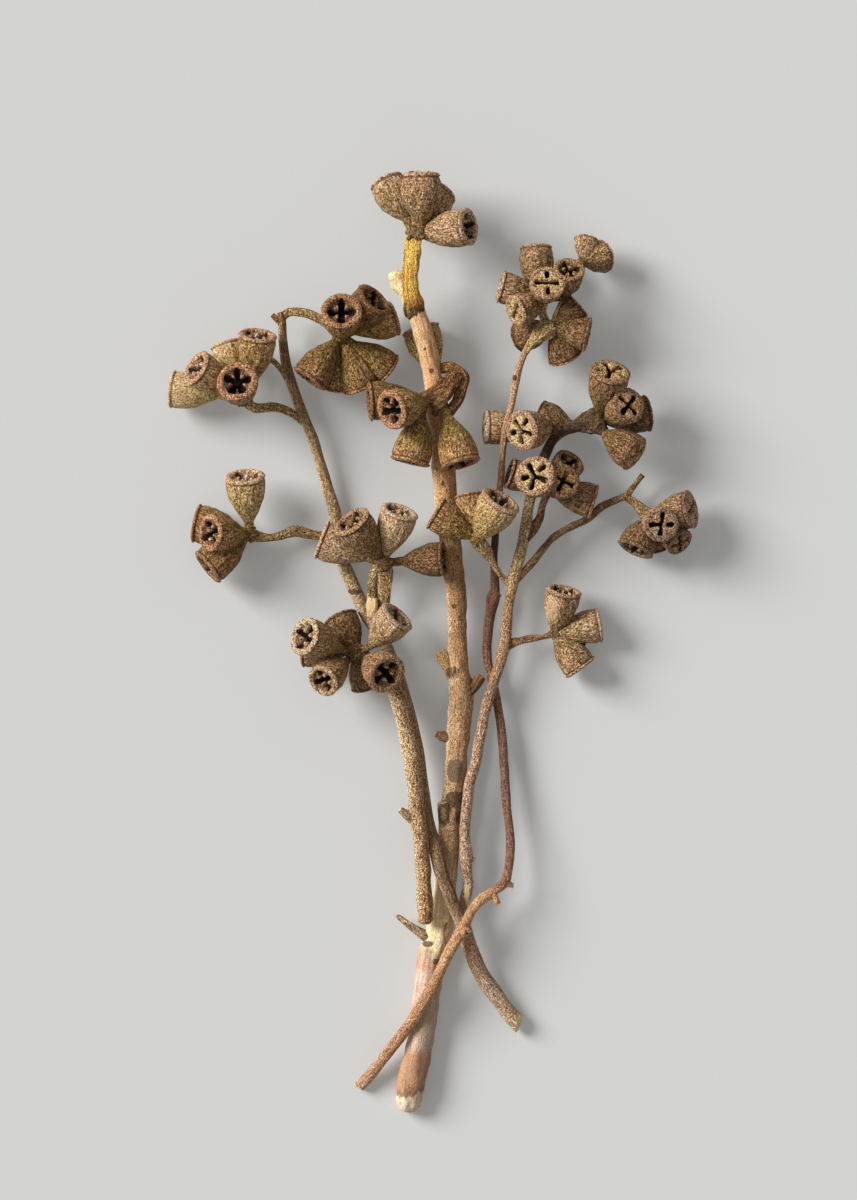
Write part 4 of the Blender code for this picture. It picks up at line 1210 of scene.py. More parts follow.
@dataclass
class Branch:
    """One stem with its stubs and side twigs; ``shades`` says how dark each of those is."""

    node: str
    bark: Bark
    route: list[Waypoint]
    stubs: list[list[Waypoint]]
    seed: int
    cut: Optional[Slant] = None
    marks: tuple[Mark, ...] = ()
    shades: tuple[float, ...] = (0.0,)
    # Painted shade on the stem's right side and painted light on its left side
    painted_shade_side: float = 0.0
    painted_light_side: float = 0.0
    lean: float = 0.0

    def dress(self, finishes: dict[str, bpy.types.Material]) -> None:
        """Build the stem, and let it stand for its node.

        Args:
            finishes: The materials by name.
        """
        shell = Shell()
        ends = (self.route[0][1], self.route[-1][1])
        Run(self.route, sides=44, seed=self.seed, start_cut=self.cut, marks=self.marks,
            painted_shade_side=self.painted_shade_side, painted_light_side=self.painted_light_side, lean=self.lean, share_from=ends).grow(shell)
        for index, (route, shade) in enumerate(zip(self.stubs, self.shades, strict=True), 1):
            Run(route, sides=26, step=0.6, lumps=0.07, grooves=0.06, seed=self.seed + index, ragged=0.10,
                marks=self.marks, dark=shade, share_from=ends).grow(shell)
        piece = shell.build(f"{self.node}_bark", finishes[self.bark.name], BARK_CREASE)
        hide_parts(self.node)
        log.info("%s: %d stubs and twigs", self.node, len(self.stubs))


def ramp(*rows: tuple[Number, ...]) -> Bands:
    """Colours along a stem, from rows of share, red, green and blue."""
    return tuple((row[0], paint(*row[1:])) for row in rows)


def dab(red: Number, green: Number, blue: Number, strength: float) -> Dab:
    """A dab from its red, green and blue and its strength."""
    return Dab(paint(red, green, blue), strength)


WARM_NUT = NutWood(
    "warm_nut", foot=paint(158, 128, 86), crown=paint(180, 142, 104), stain=paint(148, 112, 80),
    rim=paint(200, 160, 122), valve=paint(222, 178, 124))
OLIVE_NUT = NutWood(
    "olive_nut", foot=paint(164, 134, 78), crown=paint(184, 144, 98), stain=paint(136, 106, 54),
    rim=paint(196, 148, 110), valve=paint(214, 172, 138))
GREY_NUT = NutWood(
    "grey_nut", foot=paint(148, 120, 78), crown=paint(168, 130, 94), stain=paint(128, 98, 66),
    rim=paint(180, 142, 108), valve=paint(222, 176, 122))
MAUVE_NUT = NutWood(
    "mauve_nut", foot=paint(154, 128, 88), crown=paint(174, 138, 104), stain=paint(134, 102, 72),
    rim=paint(180, 146, 120), valve=paint(202, 166, 124))

# The main stem is darker from 0.59 to 0.64 along it: painted shadow of the nuts beside it
BLOND_BARK = Bark(
    "blond_bark", ramp(
        (0, 216, 194, 164), (0.02, 212, 188, 156), (0.024, 120, 84, 60), (0.03, 176, 136, 104), (0.07, 170, 132, 102),
        (0.078, 182, 158, 138), (0.11, 188, 163, 142), (0.174, 188, 162, 140), (0.177, 186, 140, 106),
        (0.181, 186, 142, 110), (0.184, 188, 160, 136), (0.19, 194, 166, 138), (0.195, 216, 192, 150),
        (0.285, 216, 190, 150), (0.31, 178, 146, 106), (0.36, 182, 148, 108), (0.44, 180, 144, 104),
        (0.5, 190, 152, 110), (0.555, 188, 148, 104), (0.59, 168, 130, 92), (0.64, 168, 129, 90),
        (0.675, 200, 156, 110), (0.8, 204, 154, 104), (0.88, 210, 160, 112), (0.94, 218, 174, 128), (1, 236, 196, 148)),
    streak=dab(222, 186, 140, 0.32), speck=dab(112, 70, 42, 0.75), fleck=dab(156, 112, 74, 0.3), grain=0.34,
    speck_size=1.3, speck_from=0.63, calm_from=0.8, calm_to=0.34, scar=paint(88, 66, 46), cut=paint(232, 202, 160))
SPECKLED_BARK = Bark(
    "speckled_bark", ramp(
        (0, 180, 138, 94), (0.4, 176, 140, 98), (0.7, 190, 154, 110), (1, 164, 130, 92)),
    streak=dab(236, 204, 158, 0.45), speck=dab(70, 46, 26, 0.6), fleck=dab(118, 80, 48, 0.35), grain=0.7,
    speck_size=1.9)
DARK_BARK = Bark(
    "dark_bark", ramp(
        (0, 186, 156, 118), (0.05, 178, 150, 120), (0.08, 168, 136, 106), (0.11, 174, 134, 102), (0.14, 168, 138, 108),
        (0.17, 122, 92, 62), (0.22, 118, 90, 60), (0.3, 160, 130, 92), (0.45, 160, 132, 98), (0.6, 172, 146, 108),
        (0.75, 166, 136, 96), (0.85, 144, 118, 78), (1, 122, 94, 60)),
    streak=dab(196, 168, 130, 0.4), speck=dab(72, 50, 34, 0.2), fleck=dab(104, 78, 54, 0.35), grain=0.48)
GREY_BARK = Bark(
    "grey_bark", ramp(
        (0, 178, 148, 120), (0.12, 172, 138, 110), (0.35, 180, 142, 110), (0.46, 150, 116, 84), (0.6, 162, 124, 84),
        (0.68, 172, 136, 92), (0.76, 188, 158, 110), (0.88, 180, 150, 106), (0.94, 88, 66, 42), (1, 76, 56, 36)),
    streak=dab(200, 172, 142, 0.4), speck=dab(84, 62, 46, 0.3), fleck=dab(122, 90, 68, 0.4), grain=0.6,
    twig_and_shade=paint(108, 76, 50))
RED_BARK = Bark(
    "red_bark", ramp(
        (0, 184, 148, 118), (0.06, 176, 134, 96), (0.14, 180, 136, 96), (0.18, 200, 158, 114), (0.196, 186, 142, 100),
        (0.218, 172, 126, 86), (0.236, 190, 144, 102), (0.255, 202, 154, 110), (0.27, 150, 108, 78),
        (0.3, 136, 100, 78), (0.4, 120, 88, 70), (0.55, 140, 102, 74), (0.58, 110, 74, 54), (0.62, 104, 68, 50),
        (0.655, 122, 86, 58), (0.7, 84, 56, 42), (0.74, 92, 62, 46), (0.8, 146, 110, 78), (0.92, 186, 150, 116),
        (1, 180, 146, 106)),
    streak=dab(206, 164, 128, 0.3), speck=dab(84, 54, 40, 0.35), fleck=dab(118, 80, 54, 0.35), grain=0.42)

GOLDEN_STALK = Bark(
    "golden_stalk", ramp(
        (0, 84, 56, 24), (0.13, 96, 66, 28), (0.22, 160, 116, 50), (0.34, 208, 158, 72), (1, 222, 172, 88)),
    streak=dab(120, 82, 32, 0.6), speck=dab(96, 66, 30, 0.2), fleck=dab(236, 200, 122, 0.35), grain=0.35)
OLIVE_STALK = Bark(
    "olive_stalk", ramp((0, 152, 124, 80), (1, 162, 132, 88)),
    streak=dab(112, 84, 48, 0.5), speck=dab(84, 60, 34, 0.5), fleck=dab(196, 164, 112, 0.45), grain=0.7)
BROWN_STALK = Bark(
    "brown_stalk", ramp((0, 126, 92, 60), (1, 144, 108, 72)),
    streak=dab(102, 72, 46, 0.55), speck=dab(78, 54, 36, 0.5), fleck=dab(192, 156, 112, 0.45), grain=0.7)
RIBBON_STALK = Bark(
    "ribbon_stalk", ramp((0, 122, 84, 46), (1, 112, 78, 44)),
    streak=dab(78, 50, 28, 0.6), speck=dab(62, 40, 24, 0.6), fleck=dab(196, 148, 88, 0.45), grain=0.7,
    speck_size=1.4)
DARK_STALK = Bark(
    "dark_stalk", ramp((0, 104, 80, 50), (1, 96, 74, 46)),
    streak=dab(70, 50, 30, 0.5), speck=dab(56, 40, 26, 0.4), fleck=dab(140, 110, 72, 0.4), grain=0.7)
PALE_STALK = Bark(
    "pale_stalk", ramp((0, 186, 148, 96), (1, 192, 156, 102)),
    streak=dab(104, 74, 42, 0.85), speck=dab(96, 68, 38, 0.4), fleck=dab(222, 194, 140, 0.45), grain=0.7)

FINISHES = (WARM_NUT, OLIVE_NUT, GREY_NUT, MAUVE_NUT, BLOND_BARK, SPECKLED_BARK, DARK_BARK, GREY_BARK, RED_BARK,
            GOLDEN_STALK, OLIVE_STALK, BROWN_STALK, RIBBON_STALK, DARK_STALK, PALE_STALK)

# Stems, and the stubs and twigs on them, as waypoints of x, y, z and radius
MAIN_STEM = [
    (-8.5, -156.9, 3.4, 1.3), (-8.45, -156.6, 3.4, 2.2), (-8.4, -155.9, 3.5, 3.1), (-8.3, -154.8, 3.6, 3.8),
    (-8.1, -153.2, 3.8, 4.2), (-7.8, -151.0, 4.0, 4.3), (-7.0, -145.7, 4.4, 4.8), (-4.7, -135.3, 4.2, 4.5),
    (-3.0, -125.3, 4.2, 4.5), (-1.8, -115.0, 4.3, 4.6), (-0.3, -105.0, 4.3, 4.6), (1.8, -97.7, 4.4, 4.5),
    (3.3, -87.7, 4.6, 3.9), (5.0, -74.3, 5.2, 3.5), (5.5, -60.7, 5.8, 3.5), (6.3, -55.3, 6.0, 4.2),
    (7.0, -51.0, 6.2, 3.6), (7.7, -39.3, 6.6, 3.9), (8.8, -26.7, 7.0, 3.9), (9.3, -16.0, 7.3, 4.3),
    (8.5, -9.3, 7.5, 3.6), (8.0, 0.7, 7.8, 3.2), (8.0, 12.3, 8.2, 3.3), (7.0, 22.3, 8.3, 3.4),
    (5.7, 34.0, 8.6, 3.5), (4.3, 45.7, 9.3, 3.8), (3.8, 54.0, 10.2, 4.0), (2.7, 67.3, 12.2, 3.6),
    (1.0, 77.3, 13.6, 3.3), (0.2, 85.7, 14.7, 3.1), (-1.3, 94.0, 15.6, 3.2), (-3.7, 104.0, 16.3, 3.2),
    (-7.3, 114.0, 16.9, 3.1), (-9.6, 117.3, 17.1, 2.5), (-11.0, 119.3, 17.2, 1.6),
]
MAIN_STUBS = [
    [(7.6, -12.2, 6.6, 2.2), (5.7, -8.9, 7.6, 2.2), (3.7, -5.4, 8.5, 2.0), (2.3, -3.2, 8.9, 1.5)],
    [(9.6, -18.5, 7.5, 2.4), (13.6, -14.4, 8.0, 1.9), (16.0, -11.4, 8.4, 1.6)],
    [(6.0, -32.0, 7.2, 2.2), (2.8, -31.3, 7.6, 1.6), (0.9, -30.6, 7.8, 1.0)],
    [(0.5, -99.5, 5.0, 2.1), (-3.4, -97.7, 5.6, 1.75), (-7.5, -94.7, 5.4, 1.25), (-11.3, -92.0, 4.7, 0.8),
     (-12.0, -91.4, 4.5, 0.5)],
    [(5.4, -62.0, 6.4, 2.8), (4.4, -58.6, 7.8, 2.6), (3.7, -55.4, 8.8, 2.1), (3.4, -53.6, 9.2, 1.7)],
    [(-9.0, 116.0, 17.0, 2.5), (-11.2, 119.6, 17.2, 2.7), (-12.5, 122.0, 17.3, 2.5), (-13.0, 123.2, 17.3, 1.6)],
    [(4.9, -93.2, 7.8, 0.5), (3.8, -95.2, 8.4, 0.5), (3.4, -97.5, 8.5, 0.5), (3.7, -100.0, 8.0, 0.5),
     (4.6, -102.0, 6.4, 0.5)],
]

LEFT_STEM = [
    (-2.7, -93.9, 11.9, 1.5), (-2.7, -93.6, 11.9, 2.1), (-2.7, -93.0, 12.0, 2.5), (-2.8, -87.7, 12.1, 2.6),
    (-3.5, -74.3, 12.6, 2.6), (-4.3, -64.3, 13.0, 2.6), (-5.2, -57.7, 13.1, 2.7), (-6.0, -47.7, 12.8, 2.7),
    (-7.0, -39.3, 12.6, 3.0), (-8.3, -32.7, 12.3, 2.9), (-10.0, -26.0, 12.0, 2.8), (-11.5, -19.3, 11.6, 2.9),
    (-14.0, -13.3, 11.2, 2.8), (-18.0, -8.7, 10.8, 2.6), (-21.0, -6.2, 10.4, 2.3),
]
LEFT_STUBS = [
    [(-5.2, -60.6, 13.0, 1.9), (-8.4, -57.8, 13.6, 1.5), (-10.9, -55.9, 14.0, 1.1)],
    [(-6.9, -38.6, 12.8, 2.2), (-6.5, -38.2, 15.2, 1.9), (-6.4, -38.1, 15.9, 1.2), (-6.3, -38.0, 16.2, 0.5)],
]

LONG_STEM = [
    (30.2, -128.8, 3.0, 2.8), (25.4, -123.8, 3.6, 2.7), (20.6, -117.5, 4.7, 2.6), (15.4, -109.6, 6.2, 2.65),
    (12.5, -102.3, 7.8, 2.6), (9.8, -93.7, 9.8, 2.4), (7.3, -88.3, 11.0, 2.2), (5.3, -83.3, 11.7, 2.2),
    (2.8, -76.7, 11.8, 2.2), (1.2, -69.7, 10.8, 2.4), (-1.0, -63.0, 9.1, 2.2), (-2.5, -56.0, 8.0, 2.1),
    (-3.8, -46.0, 7.4, 2.1), (-5.5, -34.3, 6.9, 2.1), (-8.7, -21.0, 6.2, 2.1), (-12.3, -10.0, 5.5, 2.1),
    (-16.7, 0.7, 4.8, 2.2), (-22.0, 9.0, 4.2, 2.3), (-25.7, 16.7, 3.8, 2.3), (-29.5, 25.7, 3.5, 2.2),
    (-31.7, 34.7, 3.4, 2.0), (-32.8, 43.3, 3.9, 2.0), (-35.5, 52.3, 4.8, 1.9), (-37.9, 60.7, 5.9, 1.8),
    (-40.3, 68.3, 6.9, 1.8), (-43.3, 75.7, 7.8, 1.8), (-46.0, 83.0, 8.6, 1.8), (-48.7, 91.3, 9.3, 1.7),
    (-50.0, 100.0, 10.0, 1.5), (-50.3, 106.7, 10.5, 1.4), (-51.0, 109.8, 10.6, 1.1),
]
LONG_STUBS = [
    [(-50.6, 106.6, 10.5, 1.2), (-53.7, 109.0, 11.0, 0.8)],
]

MIDDLE_STEM = [
    (9.4, -89.4, 6.9, 1.7), (11.7, -82.0, 7.8, 1.9), (11.2, -76.0, 8.2, 1.8), (11.0, -71.3, 8.5, 2.2),
    (10.6, -63.0, 8.9, 1.8), (11.3, -54.7, 10.3, 1.8), (12.5, -46.0, 10.4, 1.8), (14.2, -40.0, 10.2, 1.8),
    (16.0, -30.0, 9.8, 1.8), (18.3, -19.7, 9.5, 1.8), (22.0, -8.0, 9.3, 1.8), (24.0, -1.0, 9.3, 2.0),
    (24.7, 7.3, 9.3, 1.7), (25.5, 14.0, 9.3, 1.7), (26.7, 20.7, 9.4, 2.1), (28.8, 28.0, 9.5, 1.9),
    (30.5, 35.7, 9.5, 1.9), (31.7, 44.0, 9.5, 1.8), (33.0, 50.0, 9.3, 1.8), (35.0, 56.0, 9.3, 1.7),
    (37.3, 62.3, 10.0, 1.7), (39.7, 67.0, 11.0, 1.7), (43.0, 70.0, 12.0, 1.8), (47.3, 71.8, 12.7, 2.0),
    (50.5, 72.7, 13.1, 2.0),
]
# The twig that bears the top middle nuts, the one that bears the right nuts, its cut fork and a knot
MIDDLE_STUBS = [
    [(30.0, 34.0, 9.4, 1.7), (33.0, 37.6, 9.1, 1.8), (35.2, 41.3, 9.0, 1.4), (36.6, 45.7, 9.2, 1.2),
     (38.0, 49.4, 9.7, 1.2)],
    [(26.7, 20.0, 9.2, 1.7), (29.3, 22.3, 9.0, 1.2), (33.3, 26.7, 8.6, 1.2), (40.0, 34.7, 7.8, 1.2),
     (46.0, 38.3, 7.0, 1.2), (52.3, 41.6, 6.0, 1.2), (56.0, 45.0, 6.2, 1.3), (60.0, 46.9, 6.7, 1.2),
     (64.3, 48.6, 7.1, 1.4)],
    [(63.8, 48.2, 7.1, 1.2), (67.0, 52.0, 7.5, 1.0), (69.9, 55.6, 7.9, 1.0)],
    [(11.2, -71.6, 8.5, 1.7), (13.4, -73.0, 8.7, 1.0)],
]

SLENDER_STEM = [
    (-25.0, -149.0, 2.2, 1.8), (-19.8, -143.0, 3.9, 1.9), (-13.0, -134.3, 7.0, 1.9), (-6.5, -125.3, 10.1, 1.9),
    (-0.3, -115.0, 11.9, 1.8), (4.7, -104.7, 13.1, 1.8), (9.3, -96.3, 14.3, 1.9), (12.7, -89.7, 14.3, 1.6),
    (16.0, -85.7, 13.6, 1.8), (19.7, -83.3, 12.6, 1.5), (23.7, -80.3, 11.2, 1.7), (25.0, -76.3, 10.3, 1.5),
    (25.7, -69.3, 9.3, 1.5), (25.5, -62.7, 8.6, 1.5), (24.3, -52.0, 7.6, 1.5), (23.7, -40.0, 6.8, 1.5),
    (22.8, -30.0, 6.2, 1.5), (21.3, -19.7, 5.6, 1.5), (19.7, -12.7, 5.3, 1.5), (18.2, -6.0, 5.4, 1.5),
    (18.2, 2.3, 6.0, 1.6), (19.2, 9.7, 6.7, 1.7), (20.0, 14.6, 7.2, 2.2), (20.6, 18.6, 8.0, 1.5),
    (20.3, 27.3, 9.9, 1.2), (20.7, 33.7, 11.6, 1.2), (21.3, 40.7, 13.2, 1.1), (22.0, 49.0, 15.3, 1.1),
    (22.7, 56.0, 16.8, 1.1), (23.2, 64.0, 18.0, 1.1), (24.3, 72.0, 18.7, 1.1), (25.7, 77.3, 18.6, 1.1),
    (26.8, 82.3, 18.0, 1.1), (27.5, 87.3, 17.4, 1.4), (29.3, 93.3, 16.8, 1.1), (32.0, 99.0, 16.3, 1.1),
    (34.7, 102.6, 16.0, 1.2), (37.2, 104.4, 15.7, 1.2),
]
SLENDER_STUBS = [
    [(20.0, 15.2, 7.4, 1.9), (22.0, 16.4, 7.4, 1.3)],
    [(19.7, -83.8, 12.8, 1.4), (21.6, -87.2, 12.9, 1.0)],
    [(24.0, -80.4, 11.2, 1.3), (26.6, -81.2, 11.3, 0.8)],
    [(9.9, -97.0, 14.4, 1.7), (11.2, -96.4, 15.6, 1.5), (11.9, -96.1, 16.2, 1.0)],
]

# Hubs and straps are waypoints too; a nut starts with the middle of its mouth and the radius there
# A nut's light is partly its own tone and partly painted shade and painted light
UMBELS = (
    Umbel("crown_nuts", WARM_NUT, GOLDEN_STALK, hubs=[(-6.3, 135.7, 21.0, 2.7), (-3.9, 135.6, 22.8, 1.9)], straps=[
        [(-6.0, 107.0, 17.0, 2.0), (-6.1, 109.0, 18.2, 3.0), (-6.4, 112.0, 19.4, 3.3), (-7.0, 115.5, 20.2, 2.8),
         (-7.6, 119.5, 20.6, 2.5), (-7.2, 127.0, 21.2, 2.9), (-6.3, 134.5, 21.2, 2.7)],
    ], nuts=[
        GumNut((-3.9, 155.6, 22.6), 6.6, 5, Face.TOOTHED, belly=1.0),
        GumNut((-15.7, 153.6, 14.5), 6.1, belly=0.9),
        GumNut((2.4, 150.0, 12.5), 6.3, light=0.95, belly=1.0, length_in_radii=3.0),
        GumNut((12.1, 138.0, 27.6), 6.6, 5, root=(-5.4, 135.6, 18.8), belly=0.25, length_in_radii=2.85),
    ]),
    Umbel("hidden_nut", OLIVE_NUT, OLIVE_STALK, hubs=[(2.3, 84.7, 8.6, 1.6)], straps=[
        [(0.6, 78.6, 12.6, 1.5), (3.0, 81.0, 10.0, 1.4), (2.4, 84.7, 8.7, 1.6)],
    ], nuts=[
        GumNut((-4.3, 104.7, 5.9), 6.3, light=1.1),
    ]),
    Umbel("shoulder_nuts", OLIVE_NUT, RIBBON_STALK, hubs=[(2.4, 79.4, 20.0, 2.5), (-2.6, 80.8, 18.9, 2.4)], straps=[
        [(1.5, 91.0, 15.2, 1.5), (6.4, 91.2, 15.8, 1.9), (9.9, 88.2, 17.0, 2.0), (9.4, 84.0, 18.2, 1.9),
         (7.6, 79.6, 19.0, 1.8), (5.4, 76.4, 19.6, 1.8)],
        [(9.0, 89.6, 17.4, 1.6), (6.6, 87.0, 18.8, 2.9), (2.8, 83.4, 19.8, 3.5), (-1.0, 81.0, 19.6, 3.0),
         (-4.6, 80.2, 18.8, 2.3)],
        [(6.8, 85.6, 21.4, 0.7), (4.6, 81.6, 21.9, 1.2), (1.6, 77.4, 20.6, 1.4), (0.4, 75.6, 19.4, 1.0)],
    ], nuts=[
        GumNut((-14.0, 77.0, 31.0), 6.7, 5, turn=36, root=(-2.3, 80.0, 19.5), light=0.78),
        GumNut((-21.3, 80.0, 20.0), 6.7, turn=45, root=(-3.0, 81.4, 18.0), light=0.5),
        GumNut((-7.7, 59.7, 20.3), 6.7, turn=20, light=0.85),
        GumNut((9.3, 59.0, 24.0), 6.7, 5, root=(4.7, 75.9, 20.3), light=0.85),
    ]),
    Umbel("upper_left_nuts", OLIVE_NUT, OLIVE_STALK, hubs=[(-30.7, 102.3, 13.0, 2.8)], straps=[
        [(-50.6, 107.6, 10.5, 1.3), (-47.7, 109.9, 11.0, 1.4), (-42.7, 109.7, 12.0, 1.5),
         (-37.7, 107.7, 12.6, 1.6), (-33.5, 104.8, 13.0, 2.0), (-30.7, 102.3, 13.0, 2.2)],
    ], nuts=[
        GumNut((-30.3, 110.0, 28.5), 6.8, light=0.72),
        GumNut((-19.3, 114.0, 21.5), 6.7, turn=45, light=0.5),
        GumNut((-12.7, 108.0, 9.5), 6.0, light=0.92),
        GumNut((-41.3, 87.3, 15.0), 6.3, light=0.55),
        GumNut((-31.7, 84.7, 6.6), 5.3, light=0.95),
        GumNut((-23.7, 84.7, 9.5), 6.3, light=0.72),
        GumNut((-15.0, 90.7, 7.5), 6.0, light=0.8),
    ]),
    Umbel("far_left_nuts", OLIVE_NUT, OLIVE_STALK, hubs=[(-63.3, 81.3, 12.0, 2.8)], straps=[
        [(-43.3, 73.6, 7.8, 1.3), (-47.7, 76.7, 9.0, 1.3), (-52.7, 78.3, 10.0, 1.4), (-59.3, 78.0, 11.2, 1.6),
         (-63.3, 81.3, 12.0, 2.0)],
        [(-48.0, 87.0, 8.8, 1.1), (-51.3, 91.7, 10.4, 1.0), (-54.3, 94.0, 12.0, 1.1), (-58.0, 92.0, 14.4, 1.2)],
    ], nuts=[
        GumNut((-65.0, 86.7, 28.0), 6.8, 5, light=0.85),
        GumNut((-79.0, 91.3, 22.0), 6.3, light=1.05),
        GumNut((-87.2, 84.4, 8.5), 6.3, light=1.6, tint=0.45),
        GumNut((-69.0, 99.7, 9.5), 5.7, light=1.5, tint=0.4),
        GumNut((-58.3, 102.3, 19.5), 6.5, turn=45, root=(-60.0, 85.3, 13.0)),
    ]),
    Umbel("left_nuts", OLIVE_NUT, OLIVE_STALK, hubs=[(-61.0, 36.0, 8.5, 2.7)], straps=[
        [(-32.0, 35.3, 3.6, 1.3), (-38.7, 35.5, 4.6, 1.6), (-46.0, 37.0, 6.5, 1.9), (-51.0, 35.4, 7.3, 1.4),
         (-55.0, 34.7, 8.0, 1.4), (-61.0, 36.0, 8.5, 2.0)],
    ], nuts=[
        GumNut((-62.7, 55.3, 16.5), 6.7, turn=30, light=1.2),
        GumNut((-74.3, 36.3, 20.5), 6.1, turn=30, light=0.8),
        GumNut((-79.3, 39.7, 6.2), 6.6, light=0.76),
        GumNut((-75.3, 24.7, 12.0), 6.5, turn=20, light=0.6),
    ]),
    Umbel("inner_left_nuts", WARM_NUT, OLIVE_STALK, hubs=[(-16.6, 26.3, 13.3, 3.0)], straps=[
        [(-17.4, 2.4, 5.2, 1.5), (-17.6, 7.0, 6.8, 1.8), (-17.0, 12.5, 9.2, 2.4), (-16.2, 18.0, 11.2, 2.6),
         (-16.2, 24.0, 12.9, 2.8), (-16.4, 27.5, 13.6, 2.2)],
        [(-20.8, 8.6, 10.6, 1.3), (-20.4, 11.5, 11.4, 1.8), (-20.0, 14.6, 11.8, 1.7)],
        [(-20.4, 13.0, 10.8, 1.4), (-20.6, 19.0, 12.2, 1.5), (-19.0, 25.5, 13.8, 1.6)],
    ], nuts=[
        GumNut((-37.4, 34.2, 12.9), 6.7, turn=45, light=1.15),
        GumNut((-27.3, 40.3, 22.5), 6.7, turn=20, light=0.75),
        GumNut((-11.0, 43.7, 20.0), 6.5, turn=10, light=1.25),
        GumNut((3.7, 27.7, 17.1), 5.8, turn=45, root=(-13.0, 26.7, 13.3), light=0.55),
    ], bare=(1,)),
    Umbel("lower_left_nuts", WARM_NUT, BROWN_STALK, hubs=[(-25.5, -3.6, 10.2, 3.2)], straps=[
        [(-19.6, -7.0, 10.6, 2.2), (-25.5, -3.6, 10.2, 2.6)],
    ], nuts=[
        GumNut((-43.0, 2.0, 23.0), 6.7, turn=60, root=(-30.7, -2.3, 12.0), light=0.9, pale=0.6),
        GumNut((-31.0, 8.3, 5.8), 5.8, turn=45, light=0.5),
        GumNut((-36.7, -13.0, 21.5), 5.8, turn=15, root=(-28.3, -6.0, 10.5), light=0.85, pale=0.35),
        GumNut((-15.3, -10.7, 25.0), 6.7, turn=45, root=(-22.3, -5.3, 12.0), light=0.72),
        GumNut((-11.7, 8.7, 17.5), 6.5, turn=45, root=(-21.0, -1.3, 12.5), light=1.25),
        GumNut((-43.3, -2.7, 7.0), 5.7, light=0.7),
        GumNut((-22.6, -15.2, 6.2), 4.9, light=0.6),
    ]),
    Umbel("inner_middle_nuts", OLIVE_NUT, PALE_STALK, hubs=[(14.7, 34.3, 20.0, 2.6)], straps=[
        [(25.2, 19.2, 9.6, 0.9), (21.7, 23.4, 12.0, 1.0), (18.9, 28.0, 14.9, 1.5), (16.4, 31.8, 18.2, 2.4),
         (14.7, 34.3, 20.0, 2.6)],
    ], nuts=[
        GumNut((0.7, 43.0, 19.5), 6.0, turn=20, light=0.75),
        GumNut((22.7, 47.3, 26.5), 7.0, 5, light=1.24),
        GumNut((12.3, 49.0, 17.2), 5.3, light=0.9),
    ]),
    Umbel("top_inner_nuts", GREY_NUT, BROWN_STALK, hubs=[(40.8, 71.3, 12.2, 2.5)], straps=[
        [(43.4, 71.2, 12.4, 2.0), (38.6, 71.0, 11.0, 2.0)],
    ], nuts=[
        GumNut((29.3, 70.3, 25.0), 6.7, 5, Face.DISC, 34, root=(39.0, 71.3, 13.0), light=1.05, apart=(1, 4)),
        GumNut((17.4, 71.6, 12.5), 6.0, 4, Face.DISC, 30, root=(36.6, 71.0, 9.8), light=1.2),
        GumNut((36.0, 75.3, 8.0), 5.4, root=(46.0, 72.6, 11.6), light=0.75),
    ]),
    Umbel("top_right_nuts", GREY_NUT, DARK_STALK, hubs=[(55.0, 73.7, 13.5, 2.9)], straps=[
        [(46.0, 71.4, 12.6, 1.6), (48.6, 72.3, 13.0, 2.5), (51.4, 73.1, 13.3, 3.6), (54.2, 73.9, 13.5, 4.6),
         (56.6, 74.4, 13.6, 4.2)],
        [(55.0, 73.5, 13.5, 2.2), (56.7, 69.7, 13.5, 1.9)],
    ], nuts=[
        GumNut((59.0, 90.0, 25.5), 6.8, 5, Face.DISC, 10, light=0.72),
        GumNut((65.0, 78.7, 26.0), 6.1, 4, Face.DISC, 45, root=(58.0, 75.3, 14.5), light=0.7),
        GumNut((71.7, 76.3, 9.5), 6.3, light=0.6),
        GumNut((67.2, 62.5, 18.3), 6.4, 4, Face.DISC, 30, root=(56.7, 69.7, 13.5), light=0.68),
    ]),
    Umbel("top_middle_nuts", GREY_NUT, BROWN_STALK, hubs=[(38.7, 51.3, 10.2, 2.1)], straps=[
        [(37.4, 48.0, 9.5, 1.3), (38.7, 51.3, 10.2, 1.8)],
    ], nuts=[
        GumNut((33.7, 55.3, 25.0), 6.9, 5, Face.DISC, 28, root=(38.4, 52.0, 12.5), light=0.95, apart=(1, 4)),
        GumNut((43.3, 53.7, 22.5), 5.9, 4, Face.DISC, -27, light=0.72),
        GumNut((45.7, 60.0, 18.0), 5.5, turn=20, light=0.6),
        GumNut((53.7, 46.7, 9.6), 6.0, turn=45),
        GumNut((25.3, 56.3, 15.7), 5.3, turn=45, root=(37.6, 52.3, 13.4), light=0.75),
    ]),
    Umbel("right_nuts", MAUVE_NUT, OLIVE_STALK, hubs=[(72.3, 41.3, 8.8, 2.6)], straps=[
        [(64.6, 48.4, 7.2, 1.2), (67.7, 46.0, 7.6, 1.5), (70.3, 43.3, 8.3, 2.2), (72.3, 41.3, 8.8, 2.6)],
    ], nuts=[
        GumNut((76.0, 39.0, 22.0), 5.9, 4, Face.DISC, light=0.85, apart=(3,)),
        GumNut((86.0, 44.3, 14.0), 6.6, 4, Face.DISC, 30, light=0.85),
        GumNut((82.3, 33.0, 15.0), 5.0, 4, Face.DISC, 30, root=(76.0, 39.7, 8.5), light=0.6),
        GumNut((67.3, 30.7, 12.0), 6.5, turn=20, light=0.62),
        GumNut((74.3, 31.7, 4.0), 5.3, light=0.6),
    ]),
    Umbel("lower_right_nuts", WARM_NUT, BROWN_STALK, hubs=[(40.7, 3.0, 8.0, 2.2)], straps=[
        [(24.2, -1.6, 9.3, 1.7), (27.0, -0.2, 9.1, 1.5), (31.5, 1.1, 8.7, 1.3), (36.8, 1.7, 8.3, 0.8),
         (40.7, 3.0, 8.0, 1.6)],
    ], nuts=[
